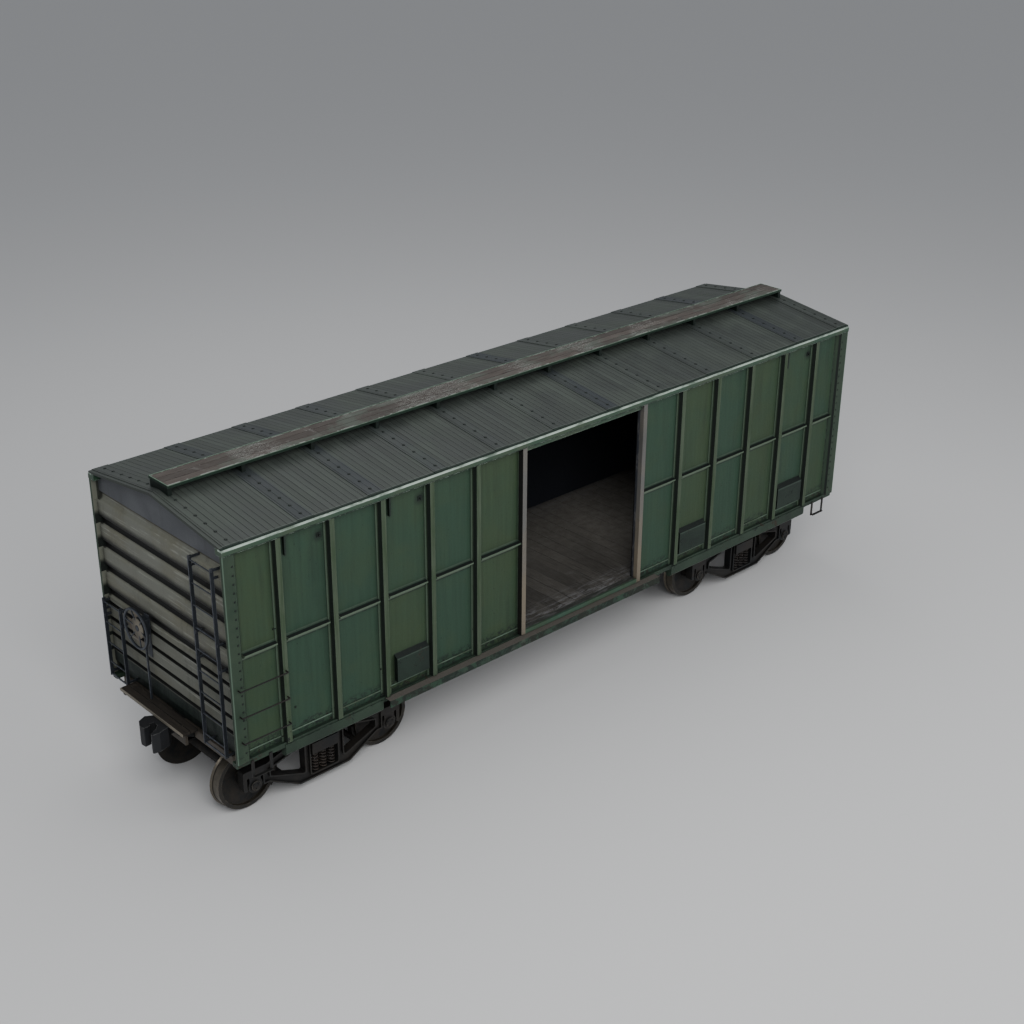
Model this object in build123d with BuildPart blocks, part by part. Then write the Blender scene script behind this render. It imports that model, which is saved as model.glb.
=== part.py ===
from build123d import *
import math
import os

# Railroad boxcar with outside posts, one sliding door left on it, and two four-wheel trucks.
# Millimetres. X runs along the car (brake end at -X), Y across it (open doorway at -Y), Z up.
# The origin is under the car's middle, level with the lowest point of the wheels.

# ---- body, as a whole ----
side_length = 12500       # over the ends of the sides
body_width = 3160         # over the outside posts
side_bottom = 1320        # height of the sides' lower edge
side_height = 3080        # lower edge to eave
ridge_rise = 230          # ridge above eave
wall = 50                 # side sheet with its lining
post_depth = 85           # how far the posts stand out from the side sheet
half_length = side_length / 2
half_width = body_width / 2
eave = side_bottom + side_height
ridge = eave + ridge_rise
sheet_face = half_width - post_depth
inner_face = sheet_face - wall

fit = 0.3                 # between pieces that rest on each other
running = 8               # between pieces that move past each other
rod_radius = 10           # grab irons and ladder rungs

# ---- doorway and sliding door ----
doorway_width = 2400      # clear
doorway_height = 2915     # above the sides' lower edge
door_post_width = 80
door_thickness = 50
door_overlap = 45         # the door laps over each door post
door_gap = 12             # between the posts' faces and the door
door_travel = 2420
door_under = 25           # door's lower edge above the ledge
door_clear = 20           # door's top below the top rail
hood_lip = 30             # how far the hood hangs down in front of the door
track_depth = 85          # how far the lower track stands out from the posts
track_ledge = 1300        # height of the ledge the rollers run on
track_fascia = 105        # height of the track's face
track_steel = 12
track_past_door = 200     # track beyond the open door's edge
track_past_post = 370     # track beyond the other door post
roller_radius = 32
roller_x = 900            # rollers, from the door's middle
roller_height = 90        # bracket and notch above the ledge
bracket_lap = 20
header_lip = 45           # door header, out from the side sheet
door_ribs = 12            # pressed across the door
door_rib_base = 110
door_rib_crown = 60
door_rib_depth = 14
door_rib_low = 330        # lowest rib's middle, above the door's lower edge
door_rib_high = 190       # highest rib's middle, below the door's top
door_rib_end = 130        # ribs' ends, in from the door's edges
half_doorway = doorway_width / 2
door_post_edge = half_doorway + door_post_width
doorway_top = side_bottom + doorway_height
door_width = doorway_width + 2 * door_overlap
track_start = door_post_edge + track_past_post
track_end = half_doorway + door_travel + track_past_door

# ---- side posts and rails ----
posts_per_section = 5
corner_bay = 815          # side's end to the first post's middle
corner_post_width = 230   # along the side
corner_slope = 60         # its inner flank, sloping back to the sheet
corner_leg = 50           # its thickness, seen from the end
post_crown = 76           # width of a post's outer face
post_base = 116           # width where its legs reach the flanges
post_flange = 24
flange_thickness = 10
rail_height = 90          # top rail
rail_depth = 95           # top rail, out from the side sheet
rail_round = 34
belt_height = 1520        # belt rail above the sides' lower edge
belt_depth = 62
belt_thickness = 46
post_pitch = (half_length - corner_bay - door_post_edge) / posts_per_section
post_places = [door_post_edge + post_pitch * n for n in range(1, posts_per_section + 1)]
post_half = post_base / 2 + post_flange
section_bays = posts_per_section + 1
bay_stops = [door_post_edge] + post_places + [half_length - corner_post_width]
rail_bottom = eave - rail_height
door_bottom = track_ledge + door_under
door_top = rail_bottom - door_clear
roller_top = track_ledge + roller_height

# Step pads low on the near side. For each bay, counted from the brake end: gaps to its left and right post,
# lower and upper edge above the sides' lower edge.
pads = {4: (90, 12, 150, 570), 8: (12, 35, 150, 570), 11: (14, 23, 150, 580)}
pad_depth = 70
pad_slope = 55
# Hanger bars at the top of the near side: gap to the left post, for each bay that has one.
hangers = {2: 50, 4: 60, 11: 34}
hanger_width = 26
hanger_length = 300
hanger_depth = 45

# ---- grab irons, ladders and steps ----
grab_heights = [315, 700, 1090]   # above the sides' lower edge
grab_standoff = 55
step_inset = 235                  # sill step's outer hanger, in from the sides' ends
step_length = 285                 # between its two hangers
step_drop = 290
step_bar = 45
step_thickness = 12
ladder_standoff = 30              # ladders' middle line beyond the sides' ends
stile_width = 16
stile_depth = 50
foot_thickness = 30
lower_foot = 60                   # above the sides' lower edge
rung_pitch = 318
rung_top = 60                     # top rung below the stiles' ends
rod_sides = 8
step_end = half_length - step_inset
step_start = step_end - step_length
# Ladders on the brake end: two stiles across the car, lower and upper end, upper foot.
ladders = [(-1370, -880, 30, 2780, 2640), (1062, 1500, 0, 1230, 1060)]

# ---- ends ----
end_inset = 120           # end sheet's outer face, in from the sides' ends
end_wall = 50
gable_bottom = 2800       # above the sides' lower edge
gable_depth = 20          # gable plate, out from the end sheet
rib_depth = 62            # how far the corrugations stand out
# Deep grooves between the upper corrugations: middle above the sides' lower edge.
deep_grooves = [2740, 2380, 2020, 1650, 1290]
deep_groove_half = 92     # half the height of such a groove
# Narrow grooves between the lower ones.
narrow_grooves = [1120, 880, 630, 400]
narrow_groove_half = 30
narrow_groove_floor = 10
narrow_groove_depth = 42
wave_bottom = 130         # lower end of the lowest corrugation
end_face = half_length - end_inset
end_inside = end_face - end_wall
rib_face = end_face + rib_depth
end_half = half_width - corner_leg

# ---- floor and frame ----
floor_thickness = 60
sill_width = 330          # centre sill, over its webs
sill_depth = 320
sill_web = 18
sill_flange = 70
side_sill_depth = 70
side_sill_width = 100
deep_sill_depth = 220
sill_chamfer = 42
bearer_width = 120
bearer_depth = 170
bearer_places = [700, 2100, 3450]   # each side of the car's middle
outer_bearer_inset = 750            # outermost ones, in from the sides' ends
bolster_width = 300
bolster_tip = 150
bolster_cover = 40
end_sill_half = 1350
end_sill_depth = 130
end_sill_inset = 60       # the end sill's face, in from the sides' ends
striker_half = 300
striker_slack = 22
stringer_places = [480, 980]        # floor stringers, each side of the car's middle line
stringer_width = 50
stringer_depth = 90
floor_top = side_bottom + floor_thickness
deep_lap = 55             # deep sill past the middle of the first post
track_gap = 40
deep_outer = half_length - corner_bay + deep_lap
deep_spans = [(-deep_outer, -(track_end + track_gap)), (post_places[0] - deep_lap, deep_outer)]

# ---- air brake, hung under the floor ----
pipe_radius = 20          # train pipe
pipe_out = 45             # its middle, out from the centre sill's web
pipe_height = 60          # its middle, above the centre sill's lower edge
pipe_end = 100            # its ends, in from the sides' ends
reservoir_radius = 190
reservoir_length = 1050
reservoir_crown = 70      # depth of each domed head
reservoir_head = 120      # radius of each head's flat
reservoir_y = 730
reservoir_drop = 160      # its top below the floor
hanger_spread = 600       # between its two hangers
hanger_plate = (60, 220)  # each hanger along and across the car
cylinder_radius = 130
cylinder_length = 420
cylinder_flange = (150, 30)   # radius and thickness of its head
cylinder_height = 105     # its middle, above the centre sill's lower edge
cylinder_out = 200        # its middle, out from the centre sill's web
push_rod = (16, 330)      # radius and length
valve_size = (200, 150, 210)  # along, across and up
valve_cap = (62, 60)      # radius and length of each end cap
valve_height = 110        # its lower edge above the centre sill's
bracket_plate = 20
pipe_y = sill_width / 2 + pipe_out

# ---- hand brake and crossover platforms ----
platform_inset = 60
platform_width = 240
platform_height = 50      # top, above the sides' lower edge
platform_thickness = 40
platform_span = (-550, 1040)
platform_brackets_y = [-430, 930]
bracket_width = 50
bracket_tip = 20
brake_wheel_y = 500
brake_wheel_height = 1190
brake_wheel_radius = 305
brake_rim = 26
brake_rim_depth = 22
brake_spokes = 6
brake_spoke = 22
brake_hub = 48
brake_shaft = 60
housing_depth = 118
housing_width = 170
housing_height = 230
brake_plate_width = 110
brake_plate_low = 710     # mounting plate, above the sides' lower edge
brake_plate_high = 1350
brake_plate_thickness = 12
brake_rod = 24

# ---- couplers ----
coupler_height = 1175
coupler_reach = 445       # pulling face, out from the sides' ends
shank_width = 150
shank_height = 130
shank_length = 650        # behind the head
draft_gear = 350
coupler_head = 290        # height of the head
head_length = 360
head_round = 12
# Head seen from above, out from its back: guard arm on one side, throat, knuckle with its pivot lug on the other.
head_outline = [
    (0, -95), (0, 95), (95, 190), (250, 235), (head_length, 222), (head_length - 8, 178), (240, 122), (172, 55),
    (165, -38), (235, -50), (258, 0), (head_length - 10, 5), (head_length, -85), (305, -200), (185, -255), (90, -195),
]

# ---- roof ----
roof_half = half_width - 10
roof_edge = 20
board_width = 460
board_rise = 130          # running board's top above the ridge
board_thickness = 40
board_overhang = 80       # beyond the sides' ends
saddle_count = 12
saddle_inset = 172        # first and last, in from the sides' ends
saddle_width = 60
seam_width = 245          # cover strips over the roof sheets' joints, one under each saddle
seam_rise = 8
board_top = ridge + board_rise
board_half_length = half_length + board_overhang
saddle_pitch = (side_length - 2 * saddle_inset) / (saddle_count - 1)
roof_slope = (ridge_rise - roof_edge) / roof_half
ridge_inside = ridge - 40

# ---- trucks ----
truck_inset = 1720        # truck's middle, in from the sides' ends
wheelbase = 2310
wheel_tread_radius = 457
flange_height = 28
flange_width = 34
wheel_width = 165
back_to_back = 1360
axle_radius = 82
journal_radius = 74
journal_centres = 1970
frame_thickness = 130
half_centres = half_length - truck_inset
half_wheelbase = wheelbase / 2
wheel_height = wheel_tread_radius + flange_height
frame_middle = journal_centres / 2

# Side frame: heights above the rail, and lengths beyond the bolster window or from the axle's line.
frame_top = 890
frame_bottom = 150
top_flat = 240            # level stretch of the top, beyond the window
bottom_flat = 200         # level stretch of the bottom, beyond the window
arch_end = 195            # where the sloping top meets the pedestal, before the axle
tie_end = 225             # where the sloping bottom meets it
pedestal_top = 740
pedestal_bottom = 430
pedestal_reach = 185      # beyond the axle
jaw_half = 128
bearing_roof = 630
window_half = 230
window_top = 815
spring_seat = 235
column_width = 105        # between the window and the lightening hole
hole_heights = (300, 775)       # of the lightening hole at the column
hole_tip_heights = (515, 625)   # and at its outer end
hole_tip = 255            # its outer end, before the axle
frame_round = 26
frame_border = 22         # rim left round the pocket in the outer face
frame_pocket = 34         # depth of that pocket
bearing_radius = 112
adapter_half = 90
pedestal_end = half_wheelbase + pedestal_reach

# Truck bolster.
truck_bolster_top = 800
bolster_reach = 1080
bolster_shoulder = 620
bolster_seat = 560
bolster_end_top = 730
bolster_belly = 500
seat_inner = journal_centres / 2 - 90   # flat spring seat, from the car's middle
bowl_depth = 34
centre_plate_radius = 175
bowl_floor = truck_bolster_top - bowl_depth
spring_places = [-140, 0, 140]
spring_radius = 62

# Brake beams and shoes.
beam_clear = 15           # from the wheels
beam_width = 45
beam_heights = (310, 380)
shoe_gap = 8
shoe_thickness = 45
shoe_width = 90
shoe_middle = back_to_back / 2 + 34 + 60
shoe_low = -38
shoe_high = 2
beam_place = half_wheelbase - wheel_height - beam_clear - beam_width

# Wheel and axle as one turned profile: distance from the car's middle, radius.
rim_depth = 55            # rim, from the tread inwards
hub_radius = 130
hub_lip = 25              # hub, out from the rim's face
plate_back = 30           # plate's back at the axle, and its front at the rim and at the hub, from the back face
plate_rim = 110
plate_hub = 70
back_face = back_to_back / 2
rim_face = back_face + wheel_width
rim_inside = wheel_tread_radius - rim_depth
journal_end = frame_middle + frame_thickness / 2 + 25
wheel_profile = [
    (0, 0), (0, axle_radius), (back_face + plate_back, axle_radius), (back_face, rim_inside),
    (back_face, wheel_height), (back_face + flange_width, wheel_tread_radius), (rim_face, wheel_tread_radius),
    (rim_face, rim_inside), (back_face + plate_rim, rim_inside), (back_face + plate_hub, hub_radius),
    (rim_face + hub_lip, hub_radius), (rim_face + hub_lip, journal_radius), (journal_end, journal_radius),
    (journal_end, 0),
]


def bar(x, y, z):
    """Adds a straight bar that spans the pairs x, y and z to the part being built."""
    with Locations(((x[0] + x[1]) / 2, (y[0] + y[1]) / 2, (z[0] + z[1]) / 2)):
        Box(abs(x[1] - x[0]), abs(y[1] - y[0]), abs(z[1] - z[0]))


def outline(points):
    """Adds the closed outline through points to the sketch being built, where its points say."""
    Polygon(*points, align=None)


def turned_pair(piece):
    """The piece together with its copy at the opposite corner of the car."""
    with BuildPart() as pair:
        add(piece.part)
        add(piece.part.rotate(Axis.Z, 180))
    return pair


def keep(piece, name):
    piece.part.label = name
    export_step(piece.part, f"parts/{name}.step")


os.makedirs("parts", exist_ok=True)

# ==== frame under the floor ====

# Centre sill: two webs under a cover plate with flanges turned out, open below, from striker to striker.
sill_top = side_bottom
sill_bottom = sill_top - sill_depth
sill_half = sill_width / 2
flange_half = sill_half + sill_flange
striker_thickness = 40
sill_end = half_length - striker_thickness
pipe_z = sill_bottom + pipe_height
with BuildPart() as centre_sill:
    with BuildSketch(Plane.YZ.offset(-sill_end)):
        outline([
            (-flange_half, sill_bottom),
            (-flange_half, sill_bottom + sill_web),
            (-sill_half, sill_bottom + sill_web),
            (-sill_half, sill_top),
            (sill_half, sill_top),
            (sill_half, sill_bottom + sill_web),
            (flange_half, sill_bottom + sill_web),
            (flange_half, sill_bottom),
            (sill_half - sill_web, sill_bottom),
            (sill_half - sill_web, sill_top - sill_web),
            (-sill_half + sill_web, sill_top - sill_web),
            (-sill_half + sill_web, sill_bottom),
        ])
    extrude(amount=2 * sill_end)
keep(centre_sill, "centre_sill")

# Cross bearers: beams from the centre sill's webs out to the side sills.
with BuildPart() as cross_bearers:
    for x in bearer_places + [half_length - outer_bearer_inset]:
        for end in (-1, 1):
            for side in (-1, 1):
                bar((end * x - bearer_width / 2, end * x + bearer_width / 2),
                    (side * sill_half, side * inner_face),
                    (side_bottom - bearer_depth, side_bottom))
keep(cross_bearers, "cross_bearers")

# Body bolsters: tapered arms each side of the centre sill, joined below it over the centre plate.
with BuildPart() as body_bolsters:
    for x in (-half_centres, half_centres):
        with BuildSketch(Plane.YZ.offset(x - bolster_width / 2)):
            for side in (-1, 1):
                outline([
                    (side * sill_half, side_bottom),
                    (side * inner_face, side_bottom),
                    (side * inner_face, side_bottom - bolster_tip),
                    (side * flange_half, sill_bottom - bolster_cover),
                    (0, sill_bottom - bolster_cover),
                    (0, sill_bottom),
                    (side * flange_half, sill_bottom),
                    (side * flange_half, sill_bottom + sill_web),
                    (side * sill_half, sill_bottom + sill_web),
                ])
        extrude(amount=bolster_width)
        with BuildSketch(Plane.XY.offset(bowl_floor + fit)):
            with Locations((x, 0)):
                Circle(centre_plate_radius)
        extrude(amount=sill_bottom - bolster_cover - bowl_floor - fit)
        with BuildSketch(Plane.YZ.offset(x - bolster_width / 2)):
            with Locations((pipe_y, pipe_z)):
                Circle(pipe_radius + fit)
        extrude(amount=bolster_width, mode=Mode.SUBTRACT)
keep(body_bolsters, "body_bolsters")

# Side sills: a shallow angle the whole length, deepened over the trucks.
sill_out = inner_face + side_sill_width
deep_out = sill_out + 12
with BuildPart() as near_sill:
    bar((-half_length, half_length), (-inner_face, -sill_out), (side_bottom - side_sill_depth, side_bottom))
    for start, end in deep_spans:
        with BuildSketch(Plane.YZ.offset(start)):
            outline([
                (-inner_face, side_bottom - side_sill_depth / 2),
                (-deep_out, side_bottom - side_sill_depth / 2),
                (-deep_out, side_bottom - deep_sill_depth + sill_chamfer),
                (-deep_out + sill_chamfer, side_bottom - deep_sill_depth),
                (-inner_face, side_bottom - deep_sill_depth),
            ])
        extrude(amount=end - start)
side_sills = turned_pair(near_sill)
keep(side_sills, "side_sills")

# Floor of planks laid across the car.
with BuildPart() as floor:
    bar((-end_inside, end_inside), (-inner_face, inner_face), (side_bottom, floor_top))
keep(floor, "floor")

# Floor stringers: angles along the car under the planks, from beam to beam.
beams = [(x, bearer_width) for x in bearer_places] + [(half_length - outer_bearer_inset, bearer_width)]
beams = sorted(beams + [(half_centres, bolster_width)])
with BuildPart() as floor_stringers:
    start = 0
    for x, width in beams + [(end_inside, 0)]:
        for end in (-1, 1):
            for side in (-1, 1):
                for y in stringer_places:
                    bar((end * start, end * (x - width / 2)),
                        (side * y - stringer_width / 2, side * y + stringer_width / 2),
                        (side_bottom - stringer_depth, side_bottom))
        start = x + width / 2
keep(floor_stringers, "floor_stringers")

# Air brake: train pipe through the bolsters, reservoir, brake cylinder and control valve between the bearers.
def turned_along(x, y, z, direction, points):
    """Turns points, lengths and radii along X from (x, y, z), into the part being built."""
    with BuildSketch(Plane((x, y, z), x_dir=(direction, 0, 0), z_dir=(0, -direction, 0))) as section:
        outline(points)
    revolve(section.sketch, axis=Axis((x, y, z), (1, 0, 0)))


with BuildPart() as train_pipe:
    pipe_half = half_length - pipe_end
    turned_along(0, pipe_y, pipe_z, 1,
                 [(-pipe_half, 0), (-pipe_half, pipe_radius), (pipe_half, pipe_radius), (pipe_half, 0)])
keep(train_pipe, "train_pipe")

reservoir_x = (bearer_places[0] + bearer_places[1]) / 2
reservoir_z = side_bottom - reservoir_drop - reservoir_radius
with BuildPart() as air_reservoir:
    half = reservoir_length / 2
    turned_along(reservoir_x, reservoir_y, reservoir_z, 1, [
        (-half, 0), (-half, reservoir_head), (-half + reservoir_crown, reservoir_radius),
        (half - reservoir_crown, reservoir_radius), (half, reservoir_head), (half, 0),
    ])
    for end in (-1, 1):
        x = reservoir_x + end * hanger_spread / 2
        bar((x - hanger_plate[0] / 2, x + hanger_plate[0] / 2),
            (reservoir_y - hanger_plate[1] / 2, reservoir_y + hanger_plate[1] / 2),
            (reservoir_z + reservoir_radius / 2, side_bottom))
keep(air_reservoir, "air_reservoir")

cylinder_x = -bearer_places[0] - bearer_width / 2 - cylinder_length
cylinder_y = -sill_half - cylinder_out
cylinder_z = sill_bottom + cylinder_height
with BuildPart() as brake_cylinder:
    flange_radius, flange_depth = cylinder_flange
    rod, reach = push_rod
    turned_along(cylinder_x, cylinder_y, cylinder_z, -1, [
        (0, 0), (0, flange_radius), (flange_depth, flange_radius), (flange_depth, cylinder_radius),
        (cylinder_length, cylinder_radius), (cylinder_length + 2 * flange_depth, 3 * rod),
        (cylinder_length + 2 * flange_depth, rod), (cylinder_length + reach, rod), (cylinder_length + reach, 0),
    ])
    for along in (flange_depth, cylinder_length - bracket_plate):
        bar((cylinder_x - along, cylinder_x - along - bracket_plate), (-sill_half, cylinder_y),
            (cylinder_z - cylinder_radius / 2, cylinder_z + cylinder_radius / 2))
keep(brake_cylinder, "brake_cylinder")

valve_x = (bearer_places[1] + bearer_places[2]) / 2
valve_z = sill_bottom + valve_height
with BuildPart() as control_valve:
    long, wide, tall = valve_size
    bar((valve_x - long / 2, valve_x + long / 2), (sill_half, sill_half + wide), (valve_z, valve_z + tall))
    cap_radius, cap_length = valve_cap
    half = long / 2 + cap_length
    turned_along(valve_x, sill_half + wide / 2, valve_z + tall / 2, 1,
                 [(-half, 0), (-half, cap_radius), (half, cap_radius), (half, 0)])
keep(control_valve, "control_valve")

# End sills: beams across each end, with the striker casting that the coupler's shank passes through.
shank_bottom = coupler_height - shank_height / 2
end_sill_face = half_length - end_sill_inset
with BuildPart() as brake_end_sill:
    for side in (-1, 1):
        bar((-end_inside, -end_sill_face), (side * sill_half, side * end_sill_half),
            (side_bottom - end_sill_depth, side_bottom))
    bar((-sill_end, -half_length), (-striker_half, striker_half), (sill_bottom, sill_top))
    with BuildSketch(Plane.YZ.offset(-half_length)):
        with Locations((0, shank_bottom + shank_height / 2 + striker_slack / 2)):
            Rectangle(shank_width + 2 * striker_slack, shank_height + striker_slack)
    extrude(amount=striker_thickness, mode=Mode.SUBTRACT)
end_sills = turned_pair(brake_end_sill)
keep(end_sills, "end_sills")

# ==== sides ====

# Side sheets: one wall each side of the doorway, from the side sill to the top rail.
def side_walls(side):
    with BuildPart() as walls:
        for end in (-1, 1):
            bar((end * door_post_edge, end * end_inside), (side * inner_face, side * sheet_face),
                (side_bottom, rail_bottom))
    return walls


keep(side_walls(-1), "near_side_walls")
keep(side_walls(1), "far_side_walls")

# Side posts: pressed hat sections, flanges flat on the sheet.
with BuildSketch() as hat:
    outline([
        (-post_base / 2 - post_flange, 0),
        (-post_base / 2 - post_flange, -flange_thickness),
        (-post_base / 2, -flange_thickness),
        (-post_crown / 2, -post_depth),
        (post_crown / 2, -post_depth),
        (post_base / 2, -flange_thickness),
        (post_base / 2 + post_flange, -flange_thickness),
        (post_base / 2 + post_flange, 0),
    ])
with BuildPart() as near_posts:
    with BuildSketch(Plane.XY.offset(side_bottom)):
        with Locations(*[(end * x, -sheet_face) for end in (-1, 1) for x in post_places]):
            add(hat.sketch)
    extrude(amount=rail_bottom - side_bottom)
side_posts = turned_pair(near_posts)
keep(side_posts, "side_posts")

# Belt rails: sloped angles between the posts, halfway up.
belt_z = side_bottom + belt_height
with BuildPart() as near_belt:
    for end in (-1, 1):
        for n in range(section_bays):
            start = bay_stops[n] + (post_half if n else 0)
            stop = bay_stops[n + 1] - (post_half if n < posts_per_section else 0)
            with BuildSketch(Plane.YZ.offset(min(end * start, end * stop))):
                outline([
                    (-sheet_face, belt_z + belt_thickness / 2),
                    (-sheet_face - belt_depth, belt_z),
                    (-sheet_face - belt_depth, belt_z - belt_thickness / 2),
                    (-sheet_face, belt_z - belt_thickness / 2),
                ])
            extrude(amount=stop - start)
belt_rails = turned_pair(near_belt)
keep(belt_rails, "belt_rails")

# Corner posts: pressed angles that hook round the end wall's edges, their inner flanks sloping back to the sheets.
with BuildPart() as near_corner_posts:
    with BuildSketch(Plane.XY.offset(side_bottom)):
        for end in (-1, 1):
            outline([
                (end * half_length, -end_half),
                (end * half_length, -half_width),
                (end * (half_length - corner_post_width + corner_slope), -half_width),
                (end * (half_length - corner_post_width), -sheet_face),
                (end * end_inside, -sheet_face),
                (end * end_inside, -end_half),
            ])
    extrude(amount=rail_bottom - side_bottom)
corner_posts = turned_pair(near_corner_posts)
keep(corner_posts, "corner_posts")

# Top rails: rounded on the outside, deeper over the doorway.
rail_out = sheet_face + rail_depth
with BuildPart() as near_rail:
    with BuildSketch(Plane.YZ.offset(-half_length)):
        with BuildLine():
            Polyline((-inner_face, eave), (-inner_face, rail_bottom), (-rail_out, rail_bottom),
                     (-rail_out, eave - rail_round))
            RadiusArc((-rail_out, eave - rail_round), (-rail_out + rail_round, eave), rail_round)
            Line((-rail_out + rail_round, eave), (-inner_face, eave))
        make_face()
    extrude(amount=side_length)
    bar((-half_doorway, half_doorway), (-inner_face, -sheet_face - header_lip), (doorway_top, rail_bottom))
top_rails = turned_pair(near_rail)
keep(top_rails, "top_rails")

# Door posts and threshold round each doorway.
with BuildPart() as near_door_posts:
    for end in (-1, 1):
        bar((end * half_doorway, end * door_post_edge), (-inner_face, -half_width), (side_bottom, rail_bottom))
door_posts = turned_pair(near_door_posts)
keep(door_posts, "door_posts")

with BuildPart() as near_threshold:
    bar((-half_doorway, half_doorway), (-inner_face, -half_width), (side_bottom, floor_top))
thresholds = turned_pair(near_threshold)
keep(thresholds, "thresholds")

# Lower door tracks: a ledge on a deep fascia, bolted to the side sill, from past the doorway to the open door's end.
track_out = half_width + track_depth
with BuildPart() as near_track:
    with BuildSketch(Plane.YZ.offset(-track_end)):
        outline([
            (-sill_out, track_ledge),
            (-track_out, track_ledge),
            (-track_out, track_ledge - track_fascia),
            (-track_out + track_steel, track_ledge - track_fascia),
            (-track_out + track_steel, track_ledge - track_steel),
            (-sill_out - track_steel, track_ledge - track_steel),
            (-sill_out - track_steel, side_bottom - side_sill_depth),
            (-sill_out, side_bottom - side_sill_depth),
        ])
    extrude(amount=track_end + track_start)
lower_tracks = turned_pair(near_track)
keep(lower_tracks, "lower_tracks")

# Step pads low on three bays of each side, and the short hanger bars at the top of three bays.
def near_bay(number):
    """Clear span between the posts of one bay of the near side, counted from the brake end."""
    ends = [-stop for stop in reversed(bay_stops)] + bay_stops
    place = number if number > section_bays else number - 1
    return ends[place] + post_half, ends[place + 1] - post_half


with BuildPart() as near_pads:
    for bay, (left_gap, right_gap, low, high) in pads.items():
        left, right = near_bay(bay)
        with BuildSketch(Plane.YZ.offset(left + left_gap)):
            outline([
                (-sheet_face, side_bottom + high),
                (-sheet_face - pad_depth, side_bottom + high - pad_slope),
                (-sheet_face - pad_depth, side_bottom + low),
                (-sheet_face, side_bottom + low),
            ])
        extrude(amount=right - right_gap - left - left_gap)
side_pads = turned_pair(near_pads)
keep(side_pads, "side_pads")

with BuildPart() as near_hangers:
    for bay, gap in hangers.items():
        x = near_bay(bay)[0] + gap
        bar((x - hanger_width / 2, x + hanger_width / 2), (-sheet_face, -sheet_face - hanger_depth),
            (rail_bottom - hanger_length, rail_bottom))
side_hangers = turned_pair(near_hangers)
keep(side_hangers, "side_hangers")

# Side grab irons: bars with bent ends, bolted from the corner post to the first post.
grab_out = half_width + grab_standoff
grab_left = -(half_length - (corner_post_width - corner_slope) / 2)
grab_right = -post_places[-1]
with BuildPart() as near_grabs:
    for height in grab_heights:
        z = side_bottom + height
        with BuildSketch(Plane.YZ.offset(grab_left)):
            with Locations((-grab_out, z)):
                RegularPolygon(rod_radius, rod_sides, rotation=180 / rod_sides)
        extrude(amount=grab_right - grab_left)
        for x in (grab_left, grab_right):
            with BuildSketch(Plane.XZ.offset(half_width)):
                with Locations((x, z)):
                    RegularPolygon(rod_radius, rod_sides, rotation=180 / rod_sides)
            extrude(amount=grab_standoff)
side_grabs = turned_pair(near_grabs)
keep(side_grabs, "side_grabs")

# Sill steps: stirrups of flat bar under each corner.
with BuildPart() as near_steps:
    for end in (-1, 1):
        for x in (step_start, step_end):
            bar((end * x - step_bar / 2, end * x + step_bar / 2), (-sill_out, -sill_out - step_thickness),
                (side_bottom - step_drop, side_bottom - side_sill_depth / 2))
        bar((end * step_start, end * step_end), (-sill_out, -sill_out - step_bar),
            (side_bottom - step_drop, side_bottom - step_drop + step_thickness))
sill_steps = turned_pair(near_steps)
keep(sill_steps, "sill_steps")

# ==== ends ====

# End walls: a sheet pressed into corrugations, its profile drawn from the top down and carried across the car.
# Four tall corrugations roll into each other through deep rounded grooves, the lower ones have narrow flat-bottomed grooves.
def end_wall_part(end):
    with BuildPart() as wall_part:
        with BuildSketch(Plane.XZ.offset(-end_half)):
            with BuildLine():
                at = (end * end_face, side_bottom + gable_bottom)
                Line((end * end_inside, side_bottom + gable_bottom), at)
                for groove in deep_grooves:
                    z = side_bottom + groove
                    reach = (end * end_face, end * (end_face + rib_depth / 2), end * rib_face)
                    if groove != deep_grooves[0]:
                        shoulder = (reach[2], z + deep_groove_half)
                        Line(at, shoulder)
                        half_way = (reach[1], z + deep_groove_half / 2)
                        rolled = TangentArc(shoulder, half_way, tangent=(0, -1))
                        TangentArc(half_way, (reach[0], z), tangent=rolled % 1)
                    else:
                        Line(at, (reach[0], z))
                    half_way = (reach[1], z - deep_groove_half / 2)
                    rolled = TangentArc((reach[0], z), half_way, tangent=(0, -1))
                    at = (reach[2], z - deep_groove_half)
                    TangentArc(half_way, at, tangent=rolled % 1)
                for groove in narrow_grooves:
                    z = side_bottom + groove
                    floor_x = end * (rib_face - narrow_groove_depth)
                    nearer = (end * rib_face, z - narrow_groove_half)
                    Polyline(at, (end * rib_face, z + narrow_groove_half), (floor_x, z + narrow_groove_floor),
                             (floor_x, z - narrow_groove_floor), nearer)
                    at = nearer
                Polyline(at, (end * rib_face, side_bottom + wave_bottom + rib_depth),
                         (end * end_face, side_bottom + wave_bottom), (end * end_face, side_bottom),
                         (end * end_inside, side_bottom), (end * end_inside, side_bottom + gable_bottom))
            make_face()
        extrude(amount=2 * end_half)
    return wall_part


keep(end_wall_part(-1), "brake_end_wall")
keep(end_wall_part(1), "far_end_wall")

# Gable plates: flat, from the end wall's top up to the roof, notched round the top rails.
with BuildPart() as brake_gable:
    with BuildSketch(Plane.YZ.offset(-end_face - gable_depth)):
        outline([
            (-end_half, side_bottom + gable_bottom),
            (end_half, side_bottom + gable_bottom),
            (end_half, rail_bottom),
            (inner_face, rail_bottom),
            (inner_face, eave),
            (0, ridge_inside),
            (-inner_face, eave),
            (-inner_face, rail_bottom),
            (-end_half, rail_bottom),
        ])
    extrude(amount=end_wall + gable_depth)
gable_plates = turned_pair(brake_gable)
keep(gable_plates, "gable_plates")

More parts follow.
